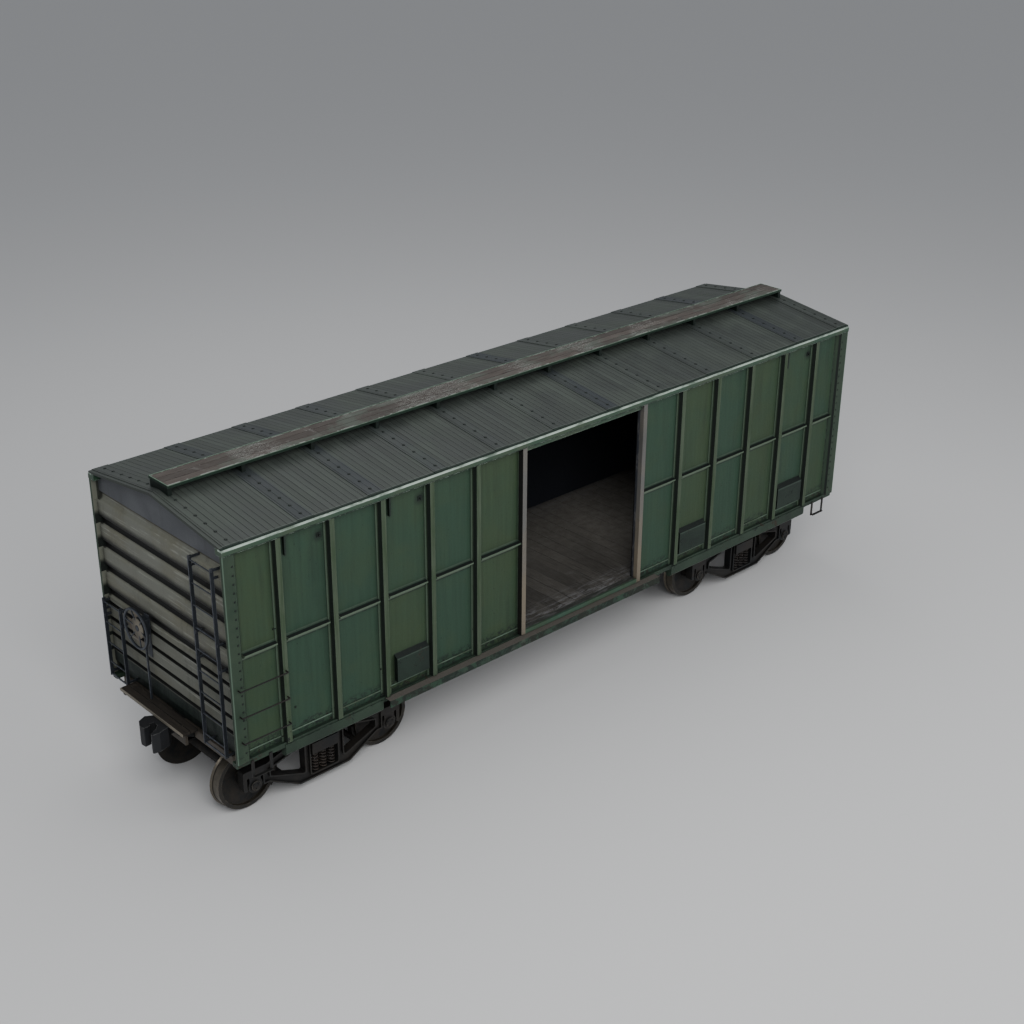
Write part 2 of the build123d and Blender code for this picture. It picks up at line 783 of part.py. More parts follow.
# End ladders: a tall one at the right-hand corner and a short one at the left-hand corner of each end.
ladder_x = -(half_length + ladder_standoff)
with BuildPart() as brake_ladders:
    for left, right, low, high, upper_foot in ladders:
        for y in (left, right):
            bar((ladder_x - stile_depth / 2, ladder_x + stile_depth / 2),
                (y - stile_width / 2, y + stile_width / 2), (side_bottom + low, side_bottom + high))
            for foot, seat in ((lower_foot, end_face), (upper_foot, rib_face)):
                bar((ladder_x, -seat), (y - stile_width / 2, y + stile_width / 2),
                    (side_bottom + foot - foot_thickness / 2, side_bottom + foot + foot_thickness / 2))
        rungs = int((high - low - 2 * rung_top) / rung_pitch) + 1
        for n in range(rungs):
            with BuildSketch(Plane.XZ.offset(-right)):
                with Locations((ladder_x, side_bottom + high - rung_top - n * rung_pitch)):
                    RegularPolygon(rod_radius, rod_sides, rotation=180 / rod_sides)
            extrude(amount=right - left)
end_ladders = turned_pair(brake_ladders)
keep(end_ladders, "end_ladders")

# Crossover platforms and the brackets under them.
platform_back = half_length - platform_inset
platform_top = side_bottom + platform_height
with BuildPart() as brake_platform:
    bar((-platform_back, -platform_back - platform_width), platform_span,
        (platform_top - platform_thickness, platform_top))
platforms = turned_pair(brake_platform)
keep(platforms, "platforms")

with BuildPart() as brake_brackets:
    for y in platform_brackets_y:
        with BuildSketch(Plane.XZ.offset(-y - bracket_width / 2)):
            outline([
                (-end_sill_face, platform_top - platform_thickness),
                (-platform_back - platform_width, platform_top - platform_thickness),
                (-platform_back - platform_width, platform_top - platform_thickness - bracket_tip),
                (-end_sill_face, side_bottom - end_sill_depth),
            ])
        extrude(amount=bracket_width)
platform_brackets = turned_pair(brake_brackets)
keep(platform_brackets, "platform_brackets")

# Hand brake: wheel on its shaft, gear housing on its mounting plate and the rod down to the frame.
brake_z = side_bottom + brake_wheel_height
brake_x = -rib_face
plate_x = brake_x - brake_plate_thickness
rod_x = brake_x - housing_depth / 2
with BuildPart() as brake_housing:
    bar((brake_x, plate_x), (brake_wheel_y - brake_plate_width / 2, brake_wheel_y + brake_plate_width / 2),
        (side_bottom + brake_plate_low, side_bottom + brake_plate_high))
    bar((plate_x, brake_x - housing_depth), (brake_wheel_y - housing_width / 2, brake_wheel_y + housing_width / 2),
        (brake_z - housing_height / 2, brake_z + housing_height / 2))
    bar((rod_x - brake_rod / 2, rod_x + brake_rod / 2), (brake_wheel_y - brake_rod / 2, brake_wheel_y + brake_rod / 2),
        (side_bottom + platform_height, brake_z - housing_height / 2))
keep(brake_housing, "brake_housing")

with BuildPart() as brake_wheel:
    with BuildSketch(Plane((brake_x - housing_depth - brake_shaft, brake_wheel_y, brake_z),
                           x_dir=(0, -1, 0), z_dir=(-1, 0, 0))):
        Circle(brake_wheel_radius)
        Circle(brake_wheel_radius - brake_rim, mode=Mode.SUBTRACT)
        with PolarLocations(0, brake_spokes):
            with Locations((brake_wheel_radius / 2, 0)):
                Rectangle(brake_wheel_radius - brake_rim / 2, brake_spoke)
        Circle(brake_hub)
    extrude(amount=brake_rim_depth)
    with BuildSketch(Plane((brake_x - housing_depth, brake_wheel_y, brake_z), x_dir=(0, -1, 0), z_dir=(-1, 0, 0))):
        Circle(brake_hub / 2)
    extrude(amount=brake_shaft)
keep(brake_wheel, "brake_wheel")

# Couplers: shank through the striker, head with its guard arm and knuckle, draft gear behind.
head_back = half_length + coupler_reach - head_length
shank_back = head_back - shank_length
with BuildPart() as far_coupler:
    bar((shank_back, head_back), (-shank_width / 2, shank_width / 2), (shank_bottom, shank_bottom + shank_height))
    bar((shank_back - draft_gear, shank_back), (-sill_half + sill_web, sill_half - sill_web),
        (shank_bottom, shank_bottom + shank_height))
    with BuildSketch(Plane.XY.offset(coupler_height - coupler_head / 2)) as head:
        with Locations((head_back, 0)):
            outline(head_outline)
        fillet(head.vertices(), radius=head_round)
    extrude(amount=coupler_head)
couplers = turned_pair(far_coupler)
keep(couplers, "couplers")

# ==== roof ====

# Roof: sheets from eave to eave, with a cover strip over each joint.
saddle_places = [(n - (saddle_count - 1) / 2) * saddle_pitch for n in range(saddle_count)]
with BuildPart() as roof:
    with BuildSketch(Plane.YZ.offset(-half_length)):
        outline([
            (-roof_half, eave),
            (-roof_half, eave + roof_edge),
            (0, ridge),
            (roof_half, eave + roof_edge),
            (roof_half, eave),
            (inner_face, eave),
            (0, ridge_inside),
            (-inner_face, eave),
        ])
    extrude(amount=side_length)
    for x in saddle_places:
        with BuildSketch(Plane.YZ.offset(x - seam_width / 2)):
            outline([
                (-roof_half, eave + roof_edge),
                (-roof_half, eave + roof_edge + seam_rise),
                (0, ridge + seam_rise),
                (roof_half, eave + roof_edge + seam_rise),
                (roof_half, eave + roof_edge),
                (0, ridge),
            ])
        extrude(amount=seam_width)
keep(roof, "roof")

with BuildPart() as running_board:
    bar((-board_half_length, board_half_length), (-board_width / 2, board_width / 2), (board_top - board_thickness, board_top))
keep(running_board, "running_board")

saddle_half = board_width / 2 - 20
with BuildPart() as saddles:
    for x in saddle_places:
        with BuildSketch(Plane.YZ.offset(x - saddle_width / 2)):
            outline([
                (-saddle_half, board_top - board_thickness),
                (saddle_half, board_top - board_thickness),
                (saddle_half, ridge + seam_rise - saddle_half * roof_slope),
                (0, ridge + seam_rise),
                (-saddle_half, ridge + seam_rise - saddle_half * roof_slope),
            ])
        extrude(amount=saddle_width)
keep(saddles, "saddles")

# ==== sliding door, shut, on the far side ====
door_back = half_width + door_gap
door_front = door_back + door_thickness
door_rib_pitch = (door_top - door_rib_high - door_bottom - door_rib_low) / (door_ribs - 1)
with BuildPart() as door:
    bar((-door_width / 2, door_width / 2), (door_back, door_front), (door_bottom, door_top))
    for x in (-roller_x, roller_x):
        bar_cut = (x - roller_radius - running, x + roller_radius + running)
        with BuildSketch(Plane.XZ.offset(-door_front)):
            with Locations((x, (door_bottom + roller_top + running) / 2)):
                Rectangle(bar_cut[1] - bar_cut[0], roller_top + running - door_bottom)
        extrude(amount=door_thickness, mode=Mode.SUBTRACT)
    for n in range(door_ribs):
        z = door_bottom + door_rib_low + n * door_rib_pitch
        with BuildSketch(Plane.YZ.offset(-door_width / 2 + door_rib_end)):
            outline([
                (door_front, z + door_rib_base / 2),
                (door_front + door_rib_depth, z + door_rib_crown / 2),
                (door_front + door_rib_depth, z - door_rib_crown / 2),
                (door_front, z - door_rib_base / 2),
            ])
        extrude(amount=door_width - 2 * door_rib_end)
keep(door, "door")

with BuildPart() as door_rollers:
    for x in (-roller_x, roller_x):
        with BuildSketch(Plane.XZ.offset(-door_front)):
            with Locations((x, track_ledge + roller_radius + fit)):
                Circle(roller_radius)
        extrude(amount=door_thickness - 10)
        bar((x - roller_radius - bracket_lap, x + roller_radius + bracket_lap), (door_front, door_front + flange_thickness),
            (door_bottom, roller_top + bracket_lap))
keep(door_rollers, "door_rollers")

with BuildPart() as door_hood:
    with BuildSketch(Plane.YZ.offset(-track_start)):
        outline([
            (rail_out, rail_bottom),
            (rail_out, rail_bottom + flange_thickness),
            (track_out, rail_bottom + flange_thickness),
            (track_out, door_top - hood_lip),
            (track_out - flange_thickness, door_top - hood_lip),
            (track_out - flange_thickness, rail_bottom),
        ])
    extrude(amount=track_start + track_end)
keep(door_hood, "door_hood")

# ==== trucks ====

# Cast side frame seen from the side: bowed top and bottom, a pedestal over each journal, the window for the bolster
# and its springs, and a lightening hole each side of the window.
half_frame = [
    (window_half + top_flat, frame_top), (half_wheelbase - arch_end, pedestal_top), (pedestal_end, pedestal_top),
    (pedestal_end, pedestal_bottom), (half_wheelbase - tie_end, pedestal_bottom),
    (window_half + bottom_flat, frame_bottom),
]
hole_start = window_half + column_width
hole_stop = half_wheelbase - hole_tip
with BuildSketch() as hole:
    outline([(hole_start, hole_heights[0]), (hole_start, hole_heights[1]),
             (hole_stop, hole_tip_heights[1]), (hole_stop, hole_tip_heights[0])])
    fillet(hole.vertices(), radius=frame_round)
with BuildSketch() as frame_face:
    outline(half_frame + [(-x, z) for x, z in reversed(half_frame)])
    fillet(frame_face.vertices(), radius=frame_round)
    add(hole.sketch, mode=Mode.SUBTRACT)
    add(hole.sketch.mirror(Plane.YZ), mode=Mode.SUBTRACT)
    with Locations((0, (spring_seat + window_top) / 2)):
        RectangleRounded(2 * window_half, window_top - spring_seat, frame_round, mode=Mode.SUBTRACT)
    for end in (-1, 1):
        with Locations((end * half_wheelbase, (pedestal_bottom + bearing_roof) / 2)):
            Rectangle(2 * jaw_half, bearing_roof - pedestal_bottom, mode=Mode.SUBTRACT)
with BuildSketch() as pocket:
    add(frame_face.sketch)
    with Locations((0, (frame_bottom + frame_top) / 2)):
        Rectangle(2 * (half_wheelbase - jaw_half), frame_top - frame_bottom, mode=Mode.INTERSECT)
    offset(amount=-frame_border, kind=Kind.INTERSECTION, mode=Mode.REPLACE)


def make_truck(name, centre):
    def plane_across(side):
        return Plane((centre, side * frame_middle + frame_thickness / 2, 0), x_dir=(1, 0, 0), z_dir=(0, -1, 0))

    with BuildPart() as side_frames:
        for side in (-1, 1):
            with BuildSketch(plane_across(side)):
                add(frame_face.sketch)
            extrude(amount=frame_thickness)
            outer_face = side * (frame_middle + frame_thickness / 2)
            with BuildSketch(Plane((centre, outer_face, 0), x_dir=(1, 0, 0), z_dir=(0, -1, 0))):
                add(pocket.sketch)
            extrude(amount=side * frame_pocket, mode=Mode.SUBTRACT)
    keep(side_frames, f"{name}_side_frames")

    with BuildPart() as bolster:
        with BuildSketch(Plane.YZ.offset(centre - window_half + running)):
            outline([
                (-bolster_reach, bolster_seat), (-bolster_reach, bolster_end_top), (-bolster_shoulder, truck_bolster_top),
                (bolster_shoulder, truck_bolster_top), (bolster_reach, bolster_end_top), (bolster_reach, bolster_seat),
                (seat_inner, bolster_seat), (bolster_shoulder, bolster_belly),
                (-bolster_shoulder, bolster_belly), (-seat_inner, bolster_seat),
            ])
        extrude(amount=2 * (window_half - running))
        with BuildSketch(Plane.XY.offset(bowl_floor)):
            with Locations((centre, 0)):
                Circle(centre_plate_radius + running)
        extrude(amount=truck_bolster_top - bowl_floor, mode=Mode.SUBTRACT)
    keep(bolster, f"{name}_bolster")

    with BuildPart() as springs:
        for side in (-1, 1):
            with BuildSketch(Plane.XY.offset(spring_seat)):
                with Locations(*[(centre + u, side * frame_middle) for u in spring_places]):
                    Circle(spring_radius)
            extrude(amount=bolster_seat - spring_seat)
    keep(springs, f"{name}_springs")

    with BuildPart() as bearings:
        for end in (-1, 1):
            for side in (-1, 1):
                with BuildSketch(plane_across(side)):
                    with Locations((end * half_wheelbase, wheel_height)):
                        Circle(bearing_radius)
                        with Locations((0, (bearing_roof - wheel_height) / 2)):
                            Rectangle(2 * adapter_half, bearing_roof - wheel_height)
                        Circle(journal_radius + fit, mode=Mode.SUBTRACT)
                extrude(amount=frame_thickness)
    keep(bearings, f"{name}_bearings")

    with BuildPart() as brake_beams:
        for end in (-1, 1):
            beam = (centre + end * beam_place, centre + end * (beam_place + beam_width))
            bar(beam, (-frame_middle + frame_thickness / 2, frame_middle - frame_thickness / 2), beam_heights)
            for side in (-1, 1):
                with BuildSketch(Plane((centre + end * half_wheelbase, side * shoe_middle - end * shoe_width / 2,
                                        wheel_height), x_dir=(-end, 0, 0), z_dir=(0, end, 0))):
                    with BuildLine():
                        inner = wheel_tread_radius + shoe_gap
                        outer = inner + shoe_thickness
                        CenterArc((0, 0), inner, shoe_low, shoe_high - shoe_low)
                        CenterArc((0, 0), outer, shoe_low, shoe_high - shoe_low)
                        for angle in (shoe_low, shoe_high):
                            c, s = math.cos(math.radians(angle)), math.sin(math.radians(angle))
                            Line((inner * c, inner * s), (outer * c, outer * s))
                    make_face()
                extrude(amount=shoe_width)
    keep(brake_beams, f"{name}_brake_beams")
    for end, label in ((-1, "outer" if centre < 0 else "inner"), (1, "inner" if centre < 0 else "outer")):
        keep(wheelset(centre + end * half_wheelbase), f"{name}_{label}_wheelset")


def wheelset(x):
    """Two flanged wheels pressed on one axle, turned about the axle's line as one profile."""
    with BuildPart() as wheels:
        with BuildSketch(Plane((x, 0, wheel_height), x_dir=(0, 1, 0), z_dir=(-1, 0, 0))):
            for side in (-1, 1):
                outline([(side * y, r) for y, r in wheel_profile])
        revolve(axis=Axis((x, 0, wheel_height), (0, 1, 0)))
    return wheels


make_truck("brake_truck", -half_centres)
make_truck("far_truck", half_centres)
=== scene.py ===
import math

import bmesh
import bpy
from mathutils import Matrix, Vector


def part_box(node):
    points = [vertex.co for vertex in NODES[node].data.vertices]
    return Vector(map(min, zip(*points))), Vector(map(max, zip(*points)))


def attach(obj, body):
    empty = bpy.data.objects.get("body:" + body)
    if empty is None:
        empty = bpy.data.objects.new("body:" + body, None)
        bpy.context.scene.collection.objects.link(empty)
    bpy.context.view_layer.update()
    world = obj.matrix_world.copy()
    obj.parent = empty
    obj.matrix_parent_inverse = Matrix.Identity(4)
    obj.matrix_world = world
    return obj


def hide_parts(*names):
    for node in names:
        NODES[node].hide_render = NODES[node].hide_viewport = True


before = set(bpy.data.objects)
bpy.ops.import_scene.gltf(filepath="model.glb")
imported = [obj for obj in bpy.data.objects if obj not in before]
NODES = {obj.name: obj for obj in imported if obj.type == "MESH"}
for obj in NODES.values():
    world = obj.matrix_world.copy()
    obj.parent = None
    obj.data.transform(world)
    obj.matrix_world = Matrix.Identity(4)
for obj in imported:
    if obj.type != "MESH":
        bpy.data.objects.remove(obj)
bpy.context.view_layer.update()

bl_info = {
    "name": "Weathered boxcar",
    "version": (1, 0, 0),
    "blender": (4, 5, 0),
    "location": "View3D > Sidebar > Boxcar",
    "description": "Dresses an outside-post railroad boxcar: paint, wood, wear, rivets, boards, springs and a studio",
    "category": "Object",
}

# Metres throughout. X runs along the car (brake end at -X), Y across it (open doorway at -Y), Z up.
SHEET_OUT = 1.495        # side sheets' outer faces, from the car's middle
SIDE_OUT = 1.580         # outer faces of the posts
SIDE_END = 6.250         # ends of the sides
SIDE_FOOT = 1.320        # lower edge of the sides
BELT_LINE = 2.840        # belt rail, halfway up the sides
SADDLE_ENDS = 6.078      # first and last saddle under the running board
SADDLE_COUNT = 12
BOARD_END = 6.112        # ends of the running board, flush with the outermost saddles
SADDLE_PITCH = 2 * SADDLE_ENDS / (SADDLE_COUNT - 1)
RIDGE = 4.630
ROOF_SLOPE = 0.210 / 1.570
SEAM_RISE = 0.008        # cover strips on the roof
END_CREST = 6.192        # crests and floors of the corrugations
END_GROOVE = 6.130
INNER_AXLE = 3.375       # inner axles, from the car's middle
WHEELBASE = 2.310
AXLE_HEIGHT = 0.485
CORNER_RIVET_LINE = 6.112
RIVET_FOOT = 0.140       # first corner rivet above the sides' lower edge
RIVET_RISE = 2.740       # height of a row of corner rivets
ROOF_RIVET_START = 0.330     # first and last roof rivet, from the ridge
ROOF_RIVET_REACH = 1.100
CAP_BOLT_CIRCLE = 0.044
CAP_BOLT_TURNS = (0.5, 2.594, 4.689)
SPRING_LINE = 0.985      # spring groups, from the car's middle, and the coils of a group
SPRING_PLACES = (-0.140, 0.0, 0.140)
PLATFORM_SIDES = (-0.550, 1.040)
PLATFORM_WIDTH = 0.240
BOARD_WIDTH = 0.107      # the two boards of a platform
BOARD_PITCH = 0.116
PLATFORM_LIP = 0.012
LADDER_FRONT = 6.288
TALL_LADDER = (-1.372, -0.878)
SHORT_LADDER = (1.062, 1.500)
TALL_BRACKETS = (4.070, 3.020, 2.640)
SHORT_BRACKETS = (2.500, 2.280)
POST_CLEAR = 0.086       # from a post's middle to the end of a panel's lip
WALL_CLEAR = 0.004       # the same at a corner post or a door post
LIP_FOOT, LIP_TOP = SIDE_FOOT + 0.088, SIDE_FOOT + 0.104
LIP_DEPTH = 0.011
WHEEL_RIM = 0.021        # radius of the brake wheel's rim bar
SPOKE_WIRE = 0.0095
SPOKE_DISH = ((0.03, 0.030), (0.09, 0.026), (0.17, 0.012), (0.24, 0.003))    # from the hub, and how far behind the rim
WEB_RADIUS = 0.150
HUB_RADIUS = 0.046
SHAFT_RADIUS = 0.022
CAMERA_ANGLES = (-43.07, 25.43, 0.39)    # azimuth, elevation and roll, in degrees
CAMERA_AWAY, CAMERA_UP, CAMERA_LEFT = 25.085, 0.950, 0.001
CAMERA_LENS = 55.45      # millimetres, on a 36 mm sensor
FLOOR_REACH = 260.0
LAMPS = {"key": (14.0, (-13.0, -17.0, 19.0)), "fill": (16.0, (10.0, -18.0, 9.0)), "top": (18.0, (1.0, 6.0, 19.0))}
LAMP_AIM = 2.4           # height that the lamps look at


# ---------------------------------------------------------------- small tools for node trees

def feed(tree, socket, value):
    """Links a socket to a socket, or sets it."""
    if isinstance(value, bpy.types.NodeSocket):
        tree.links.new(value, socket)
    else:
        socket.default_value = value


def grow(tree, kind, inputs=None, **settings):
    """Adds a node of one kind with its settings and inputs."""
    made = tree.nodes.new(kind)
    for name, value in settings.items():
        setattr(made, name, value)
    for name, value in (inputs or {}).items():
        feed(tree, made.inputs[name], value)
    return made


def calc(tree, operation, *values, clamp=False):
    made = grow(tree, "ShaderNodeMath", operation=operation, use_clamp=clamp)
    for socket, value in zip(made.inputs, values):
        feed(tree, socket, value)
    return made.outputs[0]


def times(tree, first, second, clamp=False):
    return calc(tree, "MULTIPLY", first, second, clamp=clamp)


def absolute(tree, value):
    return calc(tree, "ABSOLUTE", value)


def grey(tree, value):
    """A colour with three equal parts."""
    return grow(tree, "ShaderNodeCombineXYZ", {"X": value, "Y": value, "Z": value}).outputs[0]


def span(tree, value, low, high, start=0.0, stop=1.0):
    """Turns low..high into start..stop, smoothly and held at both ends."""
    inputs = {"Value": value, "From Min": low, "From Max": high, "To Min": start, "To Max": stop}
    return grow(tree, "ShaderNodeMapRange", inputs, interpolation_type="SMOOTHSTEP").outputs["Result"]


def mix(tree, share, first, second, how="MIX"):
    made = grow(tree, "ShaderNodeMix", data_type="RGBA", blend_type=how)
    for index, value in ((0, share), (6, first), (7, second)):
        feed(tree, made.inputs[index], value)
    return made.outputs[2]


def noise(tree, vector, scale, detail=4.0, roughness=0.6, distortion=0.0):
    inputs = {"Vector": vector, "Scale": scale, "Detail": detail, "Roughness": roughness, "Distortion": distortion}
    return grow(tree, "ShaderNodeTexNoise", inputs).outputs["Fac"]


def stretched(tree, vector, size, shift=(0.0, 0.0, 0.0)):
    inputs = {"Vector": vector, "Scale": size, "Location": shift}
    return grow(tree, "ShaderNodeMapping", inputs).outputs["Vector"]


def place(tree):
    """Object coordinates: the vector and its three parts."""
    vector = grow(tree, "ShaderNodeTexCoord").outputs["Object"]
    parts = grow(tree, "ShaderNodeSeparateXYZ", {"Vector": vector}).outputs
    return vector, parts["X"], parts["Y"], parts["Z"]


def facing(tree):
    """The three parts of the surface's direction."""
    normal = grow(tree, "ShaderNodeNewGeometry").outputs["Normal"]
    parts = grow(tree, "ShaderNodeSeparateXYZ", {"Vector": normal}).outputs
    return parts["X"], parts["Y"], parts["Z"]


def shader_group(name, inputs, outputs):
    """An empty shader group with named float inputs and named outputs."""
    tree = bpy.data.node_groups.new(name, "ShaderNodeTree")
    for label, value in inputs.items():
        tree.interface.new_socket(label, in_out="INPUT", socket_type="NodeSocketFloat").default_value = value
    for label in outputs:
        tree.interface.new_socket(label, in_out="OUTPUT", socket_type="NodeSocketFloat")
    return tree, tree.nodes.new("NodeGroupInput").outputs, tree.nodes.new("NodeGroupOutput").inputs


def use(tree, name, output, **values):
    """Places a shader group and gives one of its outputs; inputs are named in small letters."""
    made = grow(tree, "ShaderNodeGroup", node_tree=bpy.data.node_groups[name])
    for label, value in values.items():
        feed(tree, made.inputs[label.replace("_", " ").capitalize()], value)
    return made.outputs[output]


# ---------------------------------------------------------------- shared effects

def build_edge_wear():
    """Mask of worn edges: where a rounded normal leaves the true one, broken up by noise."""
    tree, given, out = shader_group("edge wear", {"Radius": 0.012, "Amount": 1.0, "Scale": 14.0}, ["Mask"])
    vector = place(tree)[0]
    rounded = grow(tree, "ShaderNodeBevel", {"Radius": given["Radius"]}, samples=4).outputs["Normal"]
    true = grow(tree, "ShaderNodeNewGeometry").outputs["Normal"]
    dot = grow(tree, "ShaderNodeVectorMath", {0: rounded, 1: true}, operation="DOT_PRODUCT").outputs["Value"]
    edge = span(tree, dot, 0.985, 0.80)
    broken = span(tree, noise(tree, vector, given["Scale"], 5.0, 0.65), 0.40, 0.62)
    tree.links.new(times(tree, times(tree, edge, broken), given["Amount"], clamp=True), out["Mask"])


def build_corner_grime_and_shade():
    """Mask of painted shade where surfaces meet, from ambient occlusion, standing also for dirt gathered there."""
    tree, given, out = shader_group("corner grime", {"Distance": 0.10, "Amount": 1.0, "Scale": 6.0}, ["Mask"])
    vector = place(tree)[0]
    open_share = grow(tree, "ShaderNodeAmbientOcclusion", {"Distance": given["Distance"]}, samples=6).outputs["AO"]
    closed = calc(tree, "SUBTRACT", 1.0, open_share)
    rough = span(tree, noise(tree, vector, given["Scale"], 4.0, 0.6), 0.25, 0.60, 0.65, 1.25)
    strong = times(tree, times(tree, closed, rough), given["Amount"], clamp=True)
    tree.links.new(strong, out["Mask"])


def build_chips():
    """Mask of paint chips in two sizes; Bias, from 0 to 1, brings more of them."""
    tree, given, out = shader_group("paint chips", {"Scale": 6.0, "Amount": 0.5, "Bias": 0.0}, ["Mask"])
    vector = place(tree)[0]
    large = noise(tree, vector, given["Scale"], 7.0, 0.72, 0.4)
    small = noise(tree, vector, times(tree, given["Scale"], 4.7), 4.0, 0.7, 0.2)
    worn = calc(tree, "ADD", times(tree, given["Amount"], 0.10), times(tree, given["Bias"], 0.22))
    both = calc(tree, "ADD", times(tree, large, 0.7), times(tree, small, 0.3))
    level = calc(tree, "SUBTRACT", 0.70, worn)
    over = calc(tree, "SUBTRACT", both, level)
    tree.links.new(span(tree, over, 0.0, 0.015), out["Mask"])


def build_streaks():
    """Mask of dirt washed down the sides."""
    tree, given, out = shader_group("rain streaks", {"Scale": 7.0, "Amount": 0.5}, ["Mask"])
    vector = place(tree)[0]
    tall = stretched(tree, vector, (1.0, 1.0, 0.07))
    lines = noise(tree, tall, given["Scale"], 5.0, 0.62)
    patches = noise(tree, vector, 0.9, 3.0, 0.5)
    mask = times(tree, span(tree, lines, 0.48, 0.70), span(tree, patches, 0.35, 0.62))
    tree.links.new(times(tree, mask, given["Amount"], clamp=True), out["Mask"])


def build_boards():
    """Joints between boards side by side along one coordinate, and a different value for each board."""
    tree, given, out = shader_group("board joints", {"Place": 0.0, "Pitch": 0.2, "Gap": 0.006, "Seed": 0.0},
                                    ["Joint", "Board"])
    turns = calc(tree, "DIVIDE", given["Place"], given["Pitch"])
    index = calc(tree, "FLOOR", turns)
    within = times(tree, calc(tree, "SUBTRACT", turns, index), given["Pitch"])
    near = calc(tree, "MINIMUM", within, calc(tree, "SUBTRACT", given["Pitch"], within))
    joint = calc(tree, "SUBTRACT", 1.0, span(tree, near, times(tree, given["Gap"], 0.4), given["Gap"]))
    chance = grow(tree, "ShaderNodeTexWhiteNoise", {"W": calc(tree, "ADD", index, given["Seed"])},
                  noise_dimensions="1D")
    tree.links.new(joint, out["Joint"])
    tree.links.new(chance.outputs["Value"], out["Board"])


def build_wood_grain():
    """Grain, cracks and scuffs of weathered boards; Across and Along are the coordinates of a board."""
    inputs = {"Across": 0.0, "Along": 0.0, "Board": 0.0, "Scale": 1.0}
    tree, given, out = shader_group("wood grain", inputs, ["Grain", "Crack", "Scuff"])
    shifted = calc(tree, "ADD", given["Along"], times(tree, given["Board"], 37.0))
    line = grow(tree, "ShaderNodeCombineXYZ", {"X": given["Across"], "Y": times(tree, shifted, 0.045)}).outputs[0]
    scale = times(tree, given["Scale"], 90.0)
    tree.links.new(noise(tree, line, scale, 5.0, 0.6, 0.3), out["Grain"])
    cracks = noise(tree, line, times(tree, given["Scale"], 34.0), 3.0, 0.5, 0.2)
    tree.links.new(span(tree, cracks, 0.62, 0.70), out["Crack"])
    scuffs = noise(tree, place(tree)[0], 3.2, 8.0, 0.75, 1.2)
    tree.links.new(span(tree, scuffs, 0.56, 0.72), out["Scuff"])


# ---------------------------------------------------------------- finishes

def new_finish(name):
    """A material with its shader; gives the material, its tree and the shader."""
    material = bpy.data.materials.new(name)
    material.use_nodes = True
    tree = material.node_tree
    shader = tree.nodes["Principled BSDF"]
    shader.inputs["Specular IOR Level"].default_value = 0.28
    return material, tree, shader


def set_surface(tree, shader, colour, roughness, height, depth=0.002, metal=None):
    """Joins colour, roughness and relief to the shader."""
    feed(tree, shader.inputs["Base Color"], colour)
    feed(tree, shader.inputs["Roughness"], roughness)
    if metal is not None:
        feed(tree, shader.inputs["Metallic"], metal)
    relief = grow(tree, "ShaderNodeBump", {"Strength": 1.0, "Distance": depth, "Height": height}).outputs["Normal"]
    feed(tree, shader.inputs["Normal"], relief)


def weathered_paint(name, coat, faded, wear, chips=0.5, grime_and_shade=1.0, streaks=0.5, rust=0.4, edge=0.8, tint=None,
                    dark_where=None, dirt=(0.018, 0.024, 0.020, 1), reach=0.10, chip_bias=0.0, gloss=0.52, extra=None,
                    dark=None):
    """Old paint: two coats that vary, streaks, chips to primer or rust, worn edges, painted shade and dirt in the
    corners.

    tint, dark_where, chip_bias and grime may be functions of the place that give a share; extra repaints the coat.
    """
    material, tree, shader = new_finish(name)
    vector, x, y, z = place(tree)
    patches = noise(tree, vector, 1.3, 5.0, 0.6, 0.6)
    colour = mix(tree, span(tree, patches, 0.35, 0.66) if tint is None else tint(tree, x, y, z, patches), coat, faded)
    cloud = noise(tree, vector, 5.0, 6.0, 0.7)
    colour = mix(tree, span(tree, cloud, 0.35, 0.75, 0.0, 0.45), colour, (0.5, 0.5, 0.5, 1), "OVERLAY")
    down = use(tree, "rain streaks", "Mask", amount=streaks)
    colour = mix(tree, times(tree, down, 0.65), colour, dirt)
    if extra:
        colour = extra(tree, colour, vector, x, y, z)
    worn = use(tree, "edge wear", "Mask", amount=edge)
    colour = mix(tree, times(tree, worn, 0.8), colour, wear)
    chip = use(tree, "paint chips", "Mask", amount=chips,
               bias=chip_bias if not callable(chip_bias) else chip_bias(tree, x, y, z))
    rusty = mix(tree, span(tree, noise(tree, vector, 2.1, 3.0), 0.45, 0.55), (0.009, 0.016, 0.012, 1),
                (0.045, 0.021, 0.011, 1))
    rusty = mix(tree, rust, (0.009, 0.016, 0.012, 1), rusty)
    colour = mix(tree, chip, colour, rusty)
    # Ambient occlusion paints shade, with dirt, into corners and recesses in the dirt colour.
    shaded_corners = use(tree, "corner grime", "Mask", amount=grime_and_shade(tree, x, y, z) if callable(grime_and_shade) else grime_and_shade, distance=reach)
    colour = mix(tree, times(tree, shaded_corners, 0.92), colour, dirt)
    # dark_where paints dark marks; on several finishes they are painted shade.
    if dark_where:
        colour = mix(tree, dark_where(tree, x, y, z), colour, dark or dirt)
    fine = noise(tree, vector, 60.0, 4.0, 0.7)
    rough = calc(tree, "ADD", span(tree, fine, 0.2, 0.8, gloss - 0.08, gloss + 0.14), times(tree, chip, 0.2),
                 clamp=True)
    dents = noise(tree, vector, 2.6, 3.0, 0.5)
    height = calc(tree, "ADD", times(tree, fine, 0.12), times(tree, dents, 1.6))
    height = calc(tree, "SUBTRACT", height, times(tree, chip, 0.35))
    set_surface(tree, shader, colour, rough, height, 0.0030)
    return material


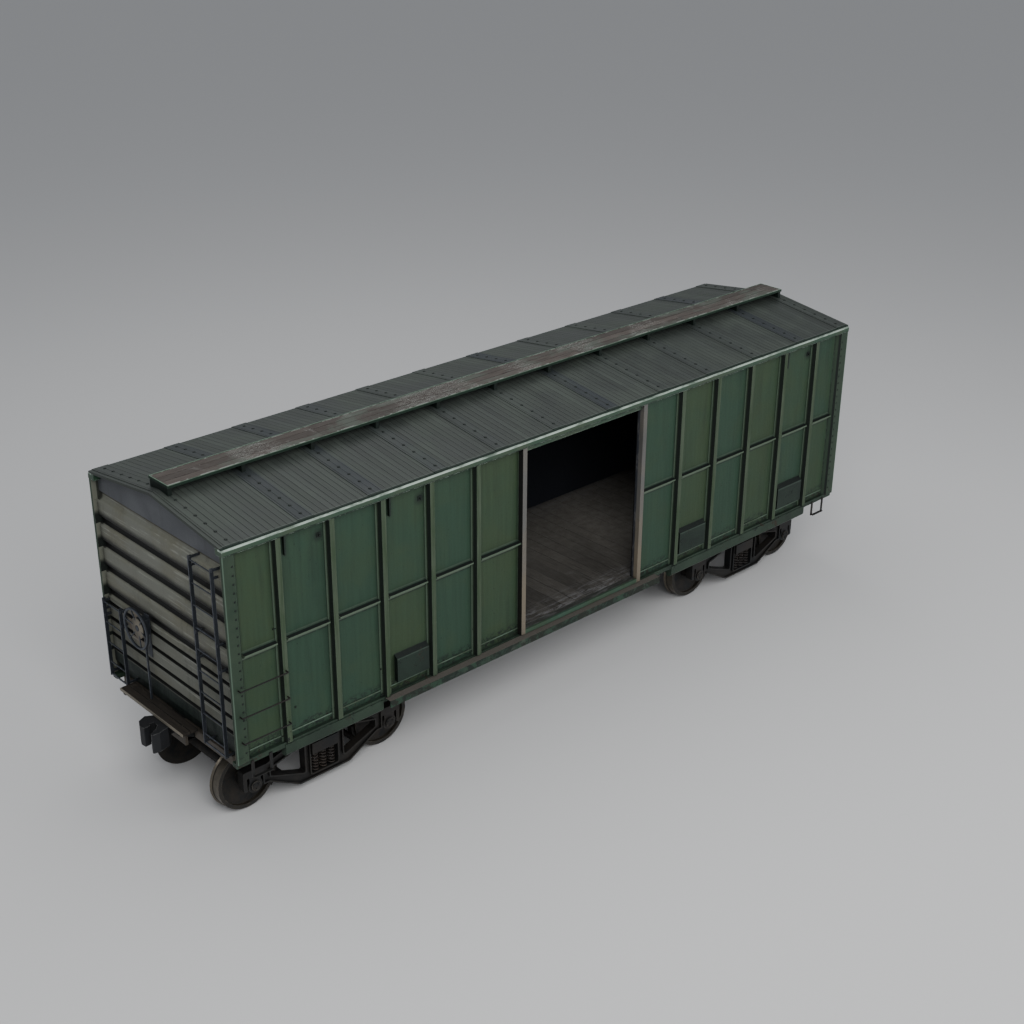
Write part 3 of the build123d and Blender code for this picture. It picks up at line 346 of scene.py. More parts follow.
# Tint of each bay of a side, from the brake end on: 0 bluish green, 1 olive green; upper and lower panel.
BAY_TINTS = [(0.85, 0.60), (0.10, 0.00), (0.15, 0.15), (0.35, 0.85), (0.15, 0.10), (0.90, 0.85),
             (0.10, 0.05), (0.85, 0.90), (0.10, 0.10), (0.80, 0.90), (0.55, 0.15), (0.30, 0.65)]
BAY_STOPS = [-6.02, -5.435, -4.604, -3.773, -2.942, -2.111, -1.28, 1.28, 2.111, 2.942, 3.773, 4.604, 5.435]


def bay_tint(tree, x, y, z, patches):
    """Which green a panel has, by its bay and by upper or lower half, turned round for the far side."""
    along = times(tree, x, calc(tree, "SIGN", times(tree, y, -1.0)))
    share = calc(tree, "DIVIDE", calc(tree, "ADD", along, SIDE_END), 2 * SIDE_END)
    rows = []
    for row in (0, 1):
        ramp = grow(tree, "ShaderNodeValToRGB", {"Fac": share})
        stops = ramp.color_ramp
        stops.interpolation = "CONSTANT"
        places = BAY_STOPS[:6] + BAY_STOPS[7:]
        while len(stops.elements) < len(places):
            stops.elements.new(0.5)
        for element, start, tints in zip(stops.elements, places, BAY_TINTS):
            element.position = (start + SIDE_END) / (2 * SIDE_END) if start != places[0] else 0.0
            element.color = (tints[row],) * 3 + (1,)
        rows.append(ramp.outputs["Color"])
    low = calc(tree, "LESS_THAN", z, BELT_LINE)
    bay = mix(tree, low, rows[0], rows[1])
    cloud = span(tree, patches, 0.35, 0.66, -0.25, 0.25)
    return calc(tree, "ADD", bay, cloud, clamp=True)


def inside_shade(tree, x, y, z):
    """Everything inside the body is painted dark as shade."""
    across = calc(tree, "LESS_THAN", absolute(tree, y), 1.462)
    return times(tree, across, calc(tree, "LESS_THAN", absolute(tree, x), 6.10))


def low_bias(tree, x, y, z):
    """Chips crowd in the lowest part of the sides."""
    return span(tree, z, 1.62, 1.36, 0.0, 0.55)


def post_flank_shade(tree, x, y, z):
    """Flanks of the posts are painted dark as shade, with some dirt, most towards the crown; outer faces and flanges
    aren't.
    """
    flank = span(tree, absolute(tree, facing(tree)[0]), 0.45, 0.85, 0.0, 0.95)
    return times(tree, flank, span(tree, absolute(tree, y), 1.512, 1.526, 0.30, 1.0))


def post_edges(tree, colour, vector, x, y, z):
    """The thin flanges against the sheet are worn pale, and the crown bleaches in long streaks."""
    tall = noise(tree, stretched(tree, vector, (1.0, 1.0, 0.05)), 30.0, 4.0, 0.6)
    colour = mix(tree, span(tree, tall, 0.45, 0.62, 0.0, 0.45), colour, (0.066, 0.088, 0.056, 1))
    flange = calc(tree, "LESS_THAN", absolute(tree, y), 1.506)
    return mix(tree, times(tree, flange, 0.7), colour, (0.075, 0.110, 0.078, 1))


def belt_bands(tree, colour, vector, x, y, z):
    """The belt's slope is dark, with painted shade in a near-black green strip against the sheet, and its front is
    pale.
    """
    out = absolute(tree, y)
    slope = calc(tree, "GREATER_THAN", facing(tree)[2], 0.3)
    colour = mix(tree, slope, mix(tree, 0.6, colour, (0.100, 0.135, 0.095, 1)), (0.026, 0.044, 0.031, 1))
    # Painted contact shadow where the belt's slope meets the sheet.
    return mix(tree, times(tree, slope, span(tree, out, 1.504, 1.514)), colour, SOOT_AND_SHADE_GREEN)


def rail_highlight_and_shadow(tree, colour, vector, x, y, z):
    """The top rail gets a painted near-white highlight on its round, broken up by noise, and a painted shadow line
    along its foot.
    """
    # Noise breaks the painted highlight into a glint along the round.
    bare = span(tree, noise(tree, stretched(tree, vector, (0.25, 1.0, 1.0)), 9.0, 5.0, 0.7), 0.36, 0.56, 0.25, 1.0)
    top = times(tree, span(tree, z, 4.370, 4.380), calc(tree, "GREATER_THAN", absolute(tree, y), 1.50))
    colour = mix(tree, times(tree, top, times(tree, bare, 0.85)), colour, (0.400, 0.480, 0.415, 1))
    # Painted shadow line under the rail.
    foot = times(tree, band(tree, z, 4.300, 4.322, 0.003), calc(tree, "GREATER_THAN", absolute(tree, y), 1.58))
    return mix(tree, times(tree, foot, 0.92), colour, (0.004, 0.011, 0.007, 1))


SHEET_FITTINGS = [(-4.763, 4.100), (-3.095, 4.091), (5.288, 4.113)]    # small fittings high on the panels


def sheet_marks(tree, colour, vector, x, y, z):
    """Panels: vertical brush marks, dark specks, painted highlight lines above and below the belt and beside the door
    posts, a pale band under the top rail, and dark chips along the foot."""
    along, out = absolute(tree, x), absolute(tree, y)
    level_z = calc(tree, "ADD", z, times(tree, calc(tree, "SUBTRACT", noise(tree, vector, 9.0, 4.0), 0.5), 0.06))
    tall = noise(tree, stretched(tree, vector, (1.0, 1.0, 0.04)), 22.0, 4.0, 0.6)
    tone = span(tree, tall, 0.30, 0.70, 0.40, 0.58)
    colour = mix(tree, 0.45, colour, grey(tree, tone), "OVERLAY")
    outside = calc(tree, "GREATER_THAN", out, 1.480)
    # Painted highlight lines above the belt and beside the door posts, and a pale band under the top rail.
    pale = calc(tree, "MAXIMUM", band(tree, z, 2.866, 2.886), times(tree, band(tree, z, 4.268, 4.312), 0.6))
    pale = calc(tree, "MAXIMUM", pale, times(tree, band(tree, along, 1.283, 1.298, 0.003), 0.9))
    pale = times(tree, times(tree, pale, outside), 0.55)
    # Painted highlight line below the belt.
    below = times(tree, times(tree, band(tree, z, 2.762, 2.778, 0.004), outside), 0.80)
    colour = mix(tree, pale, colour, (0.080, 0.115, 0.082, 1))
    colour = mix(tree, below, colour, (0.120, 0.155, 0.115, 1))
    specks = span(tree, noise(tree, vector, 26.0, 2.0, 0.5), 0.715, 0.735)
    ragged = noise(tree, stretched(tree, vector, (1.0, 1.0, 1.7)), 17.0, 6.0, 0.75)
    foot = times(tree, span(tree, z, 1.56, 1.47), span(tree, ragged, 0.50, 0.54))
    dashes = times(tree, band(tree, z, 2.742, 2.757, 0.004), span(tree, ragged, 0.40, 0.50))
    dark = calc(tree, "MAXIMUM", calc(tree, "MAXIMUM", specks, foot), dashes)
    turned = times(tree, x, calc(tree, "SIGN", times(tree, y, -1.0)))
    for middle, height in SHEET_FITTINGS:
        from_x, from_z = calc(tree, "SUBTRACT", turned, middle), calc(tree, "SUBTRACT", level_z, height)
        away = calc(tree, "SQRT", calc(tree, "ADD", times(tree, from_x, from_x), times(tree, from_z, from_z)))
        dark = calc(tree, "MAXIMUM", dark, span(tree, away, 0.13, 0.045, 0.0, 0.75))
    dark = times(tree, dark, outside)
    return mix(tree, times(tree, dark, 0.85), colour, (0.006, 0.012, 0.009, 1))


def corner_marks(tree, colour, vector, x, y, z):
    """Corner posts: pale outer edge, a flank towards the panel painted dark as shade; inside, the leg is painted like
    the end wall, with its painted groove shade.
    """
    along, out = absolute(tree, x), absolute(tree, y)
    flank = times(tree, calc(tree, "LESS_THAN", along, 6.084), calc(tree, "LESS_THAN", out, 1.578))
    lined = calc(tree, "MAXIMUM", span(tree, out, 1.538, 1.552), span(tree, out, 1.506, 1.500))
    # Painted shade on the flank towards the panel.
    colour = mix(tree, times(tree, times(tree, flank, lined), 0.95), colour, SOOT_AND_SHADE_GREEN)
    edge = times(tree, calc(tree, "GREATER_THAN", out, 1.566), calc(tree, "GREATER_THAN", along, 6.236))
    colour = mix(tree, times(tree, edge, 0.7), colour, (0.085, 0.130, 0.095, 1))
    inner = times(tree, calc(tree, "LESS_THAN", out, 1.534), calc(tree, "GREATER_THAN", along, 6.12))
    # Inner leg: cream with the painted shade bands of the grooves.
    coat = mix(tree, groove_shade_and_soot(tree, x, y, z), (0.120, 0.125, 0.100, 1), SOOT_AND_SHADE_GREEN)
    return mix(tree, inner, colour, coat)


def pad_marks(tree, colour, vector, x, y, z):
    """Step pads: black on top and on the flanks, a worn line along the front's upper edge."""
    normal = facing(tree)
    shade = calc(tree, "MAXIMUM", span(tree, normal[2], 0.15, 0.35), span(tree, absolute(tree, normal[0]), 0.5, 0.8))
    colour = mix(tree, times(tree, shade, 0.9), colour, (0.0025, 0.0050, 0.0040, 1))
    line = times(tree, band(tree, z, 1.818, 1.836, 0.004), calc(tree, "GREATER_THAN", absolute(tree, y), 1.560))
    return mix(tree, times(tree, line, 0.6), colour, (0.040, 0.065, 0.048, 1))


def edging_marks(tree, colour, vector, x, y, z):
    """The upper edge of the running board's steel edging is worn pale green."""
    bare = span(tree, noise(tree, vector, 9.0, 4.0, 0.7), 0.30, 0.55, 0.35, 1.0)
    return mix(tree, times(tree, span(tree, facing(tree)[2], 0.3, 0.7), bare), colour, (0.110, 0.165, 0.120, 1))


def threshold_inside(tree, colour, vector, x, y, z):
    """Only the outer edge of the threshold keeps its green; the rest is scraped like the floor."""
    lines = noise(tree, stretched(tree, vector, (0.16, 1.3, 1.0)), 16.0, 6.0, 0.8, 0.8)
    floor = mix(tree, span(tree, lines, 0.48, 0.62), (0.034, 0.035, 0.032, 1), (0.085, 0.086, 0.084, 1))
    return mix(tree, calc(tree, "LESS_THAN", absolute(tree, y), 1.545), colour, floor)


def ladder_highlight(tree, colour, vector, x, y, z):
    """Faces of the ladders towards the end carry a painted blue-grey highlight, broken up by noise."""
    bare = span(tree, noise(tree, vector, 7.0, 5.0, 0.7), 0.30, 0.60, 0.25, 0.75)
    return mix(tree, times(tree, span(tree, absolute(tree, facing(tree)[0]), 0.6, 0.9), bare), colour,
               (0.070, 0.078, 0.094, 1))


def board_mottle(tree, colour, vector, x, y, z):
    """The running board greys and greens in patches and is scratched white in lines and dashes."""
    patches = noise(tree, stretched(tree, vector, (0.45, 1.0, 1.0)), 2.1, 6.0, 0.7, 0.6)
    colour = mix(tree, span(tree, patches, 0.46, 0.62, 0.0, 0.85), colour, (0.072, 0.084, 0.070, 1))
    lines = noise(tree, stretched(tree, vector, (0.30, 2.2, 1.0)), 7.0, 7.0, 0.8, 2.4)
    dashes = band(tree, absolute(tree, y), 0.196, 0.212, 0.004)
    dashes = times(tree, dashes, span(tree, noise(tree, stretched(tree, vector, (1.0, 0.2, 1.0)), 9.0, 3.0), 0.50,
                                      0.56))
    bare = calc(tree, "MAXIMUM", times(tree, band(tree, lines, 0.484, 0.506, 0.006),
                                       span(tree, noise(tree, vector, 0.9, 2.0), 0.48, 0.56)), dashes)
    return mix(tree, times(tree, bare, 0.70), colour, (0.300, 0.310, 0.290, 1))


def jamb_tint(tree, x, y, z, patches):
    """Door posts are greyer above and tan below."""
    return calc(tree, "ADD", span(tree, z, 3.4, 1.5), span(tree, patches, 0.35, 0.66, -0.25, 0.25), clamp=True)


def jamb_shade(tree, x, y, z):
    """The side of a door post next to the panel is painted dark as shade, as its inner part is."""
    outer = calc(tree, "GREATER_THAN", absolute(tree, x), 1.278)
    return calc(tree, "MAXIMUM", inside_shade(tree, x, y, z), times(tree, outer, 0.95))


def jamb_reveal(tree, colour, vector, x, y, z):
    """The faces towards the doorway are dark blue grey, scraped in places."""
    reveal = calc(tree, "LESS_THAN", absolute(tree, x), 1.202)
    reveal = times(tree, reveal, span(tree, absolute(tree, y), 1.520, 1.490))
    scraped = span(tree, noise(tree, stretched(tree, vector, (1.0, 1.0, 0.25)), 14.0, 6.0, 0.7), 0.52, 0.60)
    shade = mix(tree, scraped, (0.020, 0.023, 0.030, 1), (0.075, 0.075, 0.078, 1))
    return mix(tree, times(tree, reveal, 0.95), colour, shade)


# Middles of the deep grooves of the ends below the first, then of the narrow ones.
END_GROOVES = [3.700, 3.340, 2.970, 2.610]
END_SLOTS = [2.440, 2.200, 1.950, 1.720]
BRAKE_WHEEL_AT = (0.80, 2.32)    # from the car's middle, and height


def groove_shade_and_soot(tree, x, y, z):
    """Painted shade with soot in the grooves of the ends: dark on the undersides of the corrugations and from each
    groove, fading up the corrugation above; painted dark pockets beside the corner posts.
    """
    vector = place(tree)[0]
    ragged = times(tree, noise(tree, stretched(tree, vector, (1.0, 0.35, 2.0)), 6.0, 5.0, 0.65), 0.060)
    level = calc(tree, "SUBTRACT", z, ragged)
    # Painted shade on the down-facing undersides, below the gable.
    shade = times(tree, span(tree, facing(tree)[2], -0.05, -0.45), span(tree, z, 3.99, 3.94))
    for groove in END_GROOVES:
        up = calc(tree, "SUBTRACT", level, groove - 0.030)
        fading = times(tree, span(tree, up, 0.175, 0.070), calc(tree, "GREATER_THAN", z, groove - 0.045))
        shade = calc(tree, "MAXIMUM", shade, fading)
    for groove in END_SLOTS:
        up = calc(tree, "SUBTRACT", level, groove - 0.030)
        fading = times(tree, span(tree, up, 0.046, 0.020), calc(tree, "GREATER_THAN", z, groove - 0.030))
        shade = calc(tree, "MAXIMUM", shade, fading)
    # Painted shade in the pockets beside the corner posts.
    sides = times(tree, span(tree, absolute(tree, y), 1.450, 1.500, 0.0, 0.8),
                  calc(tree, "LESS_THAN", absolute(tree, x), END_CREST - 0.012))
    return times(tree, calc(tree, "MAXIMUM", shade, sides), 0.97)


def end_grime_and_shade(tree, x, y, z):
    """How much corner shade and dirt to paint: little under the gable, much in the grooves below."""
    return span(tree, z, 3.99, 3.94, 0.25, 1.0)


def band(tree, value, start, stop, soft=0.006):
    """1 between start and stop, 0 outside."""
    rise = span(tree, value, start - soft, start + soft)
    return times(tree, rise, span(tree, value, stop + soft, stop - soft))


def end_streaks(tree, colour, vector, x, y, z):
    """Thin pale scratches run along the crests; the lower corrugations are dustier, rust stains the wall behind the
    brake wheel, a brown line lies under the gable, and the foot is dark grey green."""
    colour = mix(tree, span(tree, z, 2.75, 2.45, 0.0, 0.30), colour, (0.040, 0.044, 0.036, 1))
    from_y = calc(tree, "SUBTRACT", absolute(tree, y), BRAKE_WHEEL_AT[0])
    from_z = calc(tree, "SUBTRACT", z, BRAKE_WHEEL_AT[1])
    away = calc(tree, "SQRT", calc(tree, "ADD", calc(tree, "POWER", from_y, 2.0), calc(tree, "POWER", from_z, 2.0)))
    stained = times(tree, calc(tree, "LESS_THAN", times(tree, x, y), 0.0), span(tree, away, 0.30, 0.16, 0.0, 0.75))
    colour = mix(tree, stained, colour, (0.130, 0.100, 0.078, 1))
    lines = noise(tree, stretched(tree, vector, (1.0, 0.07, 3.4)), 7.0, 6.0, 0.72)
    bare = noise(tree, vector, 2.3, 4.0, 0.6)
    mask = times(tree, span(tree, lines, 0.54, 0.62), span(tree, bare, 0.40, 0.56))
    colour = mix(tree, times(tree, mask, 0.40), colour, (0.34, 0.345, 0.31, 1))
    colour = mix(tree, times(tree, span(tree, z, 4.078, 4.092), 0.85), colour, (0.045, 0.038, 0.024, 1))
    seams = noise(tree, stretched(tree, vector, (1.0, 1.0, 0.10)), 11.0, 5.0, 0.7)
    damp = mix(tree, span(tree, seams, 0.40, 0.66), (0.0060, 0.0100, 0.0085, 1), (0.017, 0.026, 0.021, 1))
    uneven = times(tree, noise(tree, stretched(tree, vector, (1.0, 0.35, 2.0)), 6.0, 5.0, 0.65), 0.060)
    return mix(tree, span(tree, calc(tree, "ADD", z, uneven), 1.735, 1.690), colour, damp)


def end_tint(tree, x, y, z, patches):
    """The ends yellow in patches."""
    return span(tree, patches, 0.42, 0.68)


def ledge_dust(tree, x, y, z):
    """Tan dust and rust on the door track's ledge."""
    return span(tree, facing(tree)[2], 0.3, 0.8, 0.0, 0.85)


# Near-black colours for soot and for painted shade.
SOOT_AND_SHADE = (0.0045, 0.0045, 0.0045, 1)
SOOT_AND_SHADE_GREEN = (0.0040, 0.0065, 0.0055, 1)


def build_finishes(paint):
    """All finishes, by the name that the pieces ask for."""
    made = {}
    green, olive = paint.side_green, paint.side_olive
    pale = paint.worn_green
    # The inside of the sides is painted bluish dark as shade.
    made["side sheet"] = weathered_paint("side sheet paint", green, olive, pale, 0.35, 1.0, 0.35, 0.3, 0.5, bay_tint,
                                         inside_shade, dirt=SOOT_AND_SHADE_GREEN, reach=0.08, chip_bias=low_bias,
                                         extra=sheet_marks, dark=(0.018, 0.020, 0.026, 1))
    made["post"] = weathered_paint("post paint", paint.post_green, olive, pale, 0.30, 0.5, 0.2, 0.3, 0.9, None,
                                   post_flank_shade, dirt=SOOT_AND_SHADE_GREEN, reach=0.05, chip_bias=low_bias, extra=post_edges)
    made["corner post"] = weathered_paint("corner post paint", paint.corner_green, (0.026, 0.044, 0.026, 1), pale,
                                          0.40, 0.6, 0.4, 0.4, 1.0, dirt=SOOT_AND_SHADE_GREEN, reach=0.04, chip_bias=low_bias,
                                          extra=corner_marks)
    made["belt"] = weathered_paint("belt paint", paint.post_green, olive, pale, 0.30, 0.3, 0.2, 0.3, 0.9,
                                   dirt=SOOT_AND_SHADE_GREEN, reach=0.03, extra=belt_bands)
    made["top rail"] = weathered_paint("top rail paint", paint.rail_green, paint.post_green, (0.34, 0.42, 0.36, 1), 0.4,
                                       0.9, 0.2, 0.3, 1.0, None, inside_shade, dirt=SOOT_AND_SHADE_GREEN, reach=0.05, gloss=0.30,
                                       extra=rail_highlight_and_shadow)
    made["threshold"] = weathered_paint("threshold paint", paint.threshold_green, paint.post_green, pale, 0.5, 0.8, 0.2,
                                        0.3, 1.0, dirt=SOOT_AND_SHADE_GREEN, reach=0.03, gloss=0.36, extra=threshold_inside)
    made["sill"] = weathered_paint("sill paint", (0.021, 0.038, 0.024, 1), (0.014, 0.026, 0.017, 1), pale, 0.7, 1.0,
                                   0.5, 0.5, 0.9, dirt=SOOT_AND_SHADE_GREEN, reach=0.08, chip_bias=0.25)
    made["track"] = weathered_paint("door track paint", green, (0.014, 0.026, 0.019, 1), pale, 1.0, 0.9, 0.5, 0.12,
                                    1.0, None, ledge_dust, dirt=(0.090, 0.080, 0.070, 1), reach=0.01, chip_bias=0.55)
    made["step pad"] = weathered_paint("step pad paint", paint.pad_green, (0.010, 0.021, 0.014, 1),
                                       (0.050, 0.080, 0.058, 1), 0.6, 0.9, 0.6, 0.3, 0.6, dirt=SOOT_AND_SHADE_GREEN, reach=0.08,
                                       chip_bias=0.30, extra=pad_marks)
    made["grab"] = weathered_paint("grab iron", (0.010, 0.007, 0.006, 1), (0.006, 0.006, 0.006, 1),
                                   (0.035, 0.026, 0.020, 1), 0.6, 0.4, 0.2, 0.9, 0.5, dirt=SOOT_AND_SHADE)
    made["jamb"] = weathered_paint("door post paint", paint.jamb_grey, paint.jamb, (0.22, 0.20, 0.17, 1), 0.6, 0.9,
                                   0.6, 0.6, 0.6, jamb_tint, jamb_shade, dirt=SOOT_AND_SHADE, reach=0.06, extra=jamb_reveal)
    made["end wall"] = weathered_paint("end paint", paint.end_cream, (0.125, 0.124, 0.094, 1), (0.26, 0.26, 0.23, 1),
                                       0.25, end_grime_and_shade, 0.45, 0.5, 0.3, end_tint, groove_shade_and_soot, dirt=SOOT_AND_SHADE, reach=0.10,
                                       extra=end_streaks)
    made["gable"] = weathered_paint("gable paint", paint.gable_grey, (0.066, 0.070, 0.078, 1), (0.09, 0.09, 0.085, 1),
                                    0.2, 0.8, 0.4, 0.3, 0.4, dirt=(0.012, 0.012, 0.012, 1), reach=0.12)
    made["saddle"] = weathered_paint("saddle paint", (0.0030, 0.0065, 0.0045, 1), paint.pad_green,
                                     (0.02, 0.04, 0.03, 1), 0.6, 0.5, 0.3, 0.4, 0.5, dirt=SOOT_AND_SHADE_GREEN)
    made["edging"] = weathered_paint("board edging paint", (0.0055, 0.0170, 0.0100, 1), (0.010, 0.026, 0.016, 1), pale,
                                     0.5, 0.3, 0.2, 0.4, 0.6, dirt=SOOT_AND_SHADE_GREEN, extra=edging_marks)
    made["frame"] = weathered_paint("underframe paint", (0.008, 0.009, 0.009, 1), (0.014, 0.012, 0.010, 1),
                                    (0.05, 0.042, 0.034, 1), 0.6, 0.8, 0.3, 0.9, 0.6, dirt=(0.003, 0.003, 0.003, 1))
    made["ladder"] = weathered_paint("ladder paint", (0.008, 0.010, 0.013, 1), (0.018, 0.021, 0.026, 1),
                                     (0.110, 0.118, 0.135, 1), 0.5, 0.4, 0.2, 0.4, 1.0, dirt=(0.004, 0.004, 0.005, 1),
                                     extra=ladder_highlight)
    made["truck"] = weathered_paint("truck casting", (0.0085, 0.0095, 0.0105, 1), (0.018, 0.0155, 0.013, 1),
                                    (0.050, 0.052, 0.046, 1), 0.7, 1.0, 0.3, 0.8, 0.7, dirt=(0.003, 0.003, 0.003, 1),
                                    reach=0.15)
    made["coupler"] = weathered_paint("coupler casting", (0.014, 0.015, 0.017, 1), (0.010, 0.010, 0.011, 1),
                                      (0.17, 0.17, 0.165, 1), 0.5, 1.0, 0.1, 0.5, 1.3, dirt=(0.003, 0.003, 0.003, 1),
                                      reach=0.12)
    made["dusty sill"] = weathered_paint("dusty end sill", (0.070, 0.060, 0.047, 1), (0.042, 0.036, 0.029, 1),
                                         (0.13, 0.12, 0.10, 1), 0.5, 0.9, 0.3, 0.6, 0.8, dirt=SOOT_AND_SHADE, reach=0.08)
    made["worn edge"] = weathered_paint("worn platform edge", (0.190, 0.172, 0.138, 1), (0.130, 0.118, 0.095, 1),
                                        (0.14, 0.13, 0.11, 1), 0.5, 0.3, 0.1, 0.6, 0.8, dirt=SOOT_AND_SHADE)
    made["lip"] = weathered_paint("lip paint", paint.post_green, pale, (0.16, 0.21, 0.17, 1), 0.7, 0.4, 0.2, 0.4, 1.0,
                                  dirt=SOOT_AND_SHADE_GREEN)
    made["rivet"] = weathered_paint("rivet paint", (0.003, 0.006, 0.005, 1), (0.006, 0.011, 0.008, 1),
                                    (0.02, 0.03, 0.025, 1), 0.4, 0.3, 0.1, 0.5, 0.2, dirt=SOOT_AND_SHADE)
    made["roof"] = roof_finish(paint)
    made["board"] = wood_finish("running board wood", paint.board_brown, (0.048, 0.038, 0.033, 1), "Y", 0.0, 0.65,
                                (0.150, 0.148, 0.140, 1), 0.0, board_mottle)
    made["platform"] = wood_finish("platform wood", (0.027, 0.022, 0.0165, 1), (0.012, 0.010, 0.008, 1), "X", 0.0, 0.5,
                                   (0.062, 0.055, 0.045, 1))
    made["floor"] = wood_finish("floor planks", (0.070, 0.066, 0.058, 1), (0.034, 0.031, 0.028, 1), "X", 0.233, 0.45,
                                (0.105, 0.105, 0.100, 1), 3.0, floor_scrapes_and_shade)
    made["wheel"] = wheel_finish()
    made["spring"] = weathered_paint("spring steel", (0.013, 0.011, 0.010, 1), (0.026, 0.018, 0.013, 1),
                                     (0.07, 0.065, 0.06, 1), 0.6, 0.8, 0.1, 0.9, 0.7, dirt=(0.003, 0.003, 0.003, 1))
    return made


STRIP_STAINS = [0.0, 0.7, 0.95, 0.5, 0.25, 0.15, 1.0, 0.15, 0.2, 0.25, 1.0, 0.05]    # from the brake end on


def roof_finish(paint):
    """Dull roof sheets: fine seams, darker strips under the saddles with stains round the rivets, green eaves, painted
    shade in corners and on undersides.
    """
    material, tree, shader = new_finish("roof sheet")
    vector, x, y, z = place(tree)
    cloud = noise(tree, vector, 1.1, 5.0, 0.62, 0.5)
    colour = mix(tree, span(tree, cloud, 0.34, 0.66), paint.roof_grey, paint.roof_green)
    wobble = times(tree, noise(tree, vector, 3.0, 3.0), 0.004)
    seams = grow(tree, "ShaderNodeGroup", {"Place": calc(tree, "ADD", x, wobble), "Pitch": SADDLE_PITCH / 12,
                                           "Gap": 0.006}, node_tree=bpy.data.node_groups["board joints"])
    sheet = span(tree, seams.outputs["Board"], 0.0, 1.0, 0.42, 0.58)
    colour = mix(tree, 0.6, colour, grey(tree, sheet), "OVERLAY")
    within = calc(tree, "MODULO", calc(tree, "ADD", x, 50 * SADDLE_PITCH), SADDLE_PITCH)
    from_strip = absolute(tree, calc(tree, "SUBTRACT", within, SADDLE_PITCH / 2))
    middle = calc(tree, "SUBTRACT", 1.0, span(tree, from_strip, 0.105, 0.135))
    number = calc(tree, "ADD", calc(tree, "DIVIDE", x, SADDLE_PITCH), SADDLE_COUNT / 2)
    ramp = grow(tree, "ShaderNodeValToRGB", {"Fac": calc(tree, "DIVIDE", number, SADDLE_COUNT)})
    stops = ramp.color_ramp
    stops.interpolation = "CONSTANT"
    while len(stops.elements) < SADDLE_COUNT:
        stops.elements.new(0.5)
    for n, share in enumerate(STRIP_STAINS):
        stops.elements[n].position, stops.elements[n].color = n / SADDLE_COUNT, (share,) * 3 + (1,)
    stain = times(tree, middle, span(tree, noise(tree, vector, 0.9, 4.0, 0.6, 0.4), 0.34, 0.58, 0.45, 1.0))
    stain = times(tree, stain, ramp.outputs["Color"])
    colour = mix(tree, times(tree, stain, 0.75), colour, (0.020, 0.024, 0.032, 1))
    downhill = noise(tree, stretched(tree, vector, (1.0, 0.06, 0.06)), 12.0, 4.0, 0.6)
    colour = mix(tree, span(tree, downhill, 0.50, 0.74, 0.0, 0.40), colour, (0.016, 0.018, 0.017, 1))
    drawn = span(tree, noise(tree, stretched(tree, vector, (6.0, 0.5, 0.5)), 1.7, 3.0), 0.36, 0.60, 0.30, 0.90)
    colour = mix(tree, times(tree, seams.outputs["Joint"], drawn), colour, (0.007, 0.009, 0.008, 1))
    # Ambient occlusion paints shade into corners.
    shaded_corners = use(tree, "corner grime", "Mask", amount=0.6, distance=0.06)
    colour = mix(tree, times(tree, shaded_corners, 0.6), colour, SOOT_AND_SHADE_GREEN)
    chip = use(tree, "paint chips", "Mask", amount=0.4, scale=4.0)
    colour = mix(tree, times(tree, chip, 0.7), colour, (0.032, 0.022, 0.016, 1))
    colour = mix(tree, times(tree, band(tree, absolute(tree, y), 1.534, 1.544, 0.003), 0.5), colour,
                 (0.110, 0.130, 0.112, 1))
    eaves = calc(tree, "GREATER_THAN", absolute(tree, y), 1.546)
    colour = mix(tree, eaves, colour, (0.005, 0.014, 0.009, 1))
    # Undersides painted black as shade.
    under = calc(tree, "LESS_THAN", facing(tree)[2], -0.2)
    colour = mix(tree, under, colour, SOOT_AND_SHADE)
    fine = noise(tree, vector, 45.0, 4.0, 0.7)
    height = calc(tree, "SUBTRACT", times(tree, fine, 0.12), times(tree, seams.outputs["Joint"], 1.5))
    set_surface(tree, shader, colour, span(tree, cloud, 0.3, 0.7, 0.48, 0.66), height, 0.004)
    return material


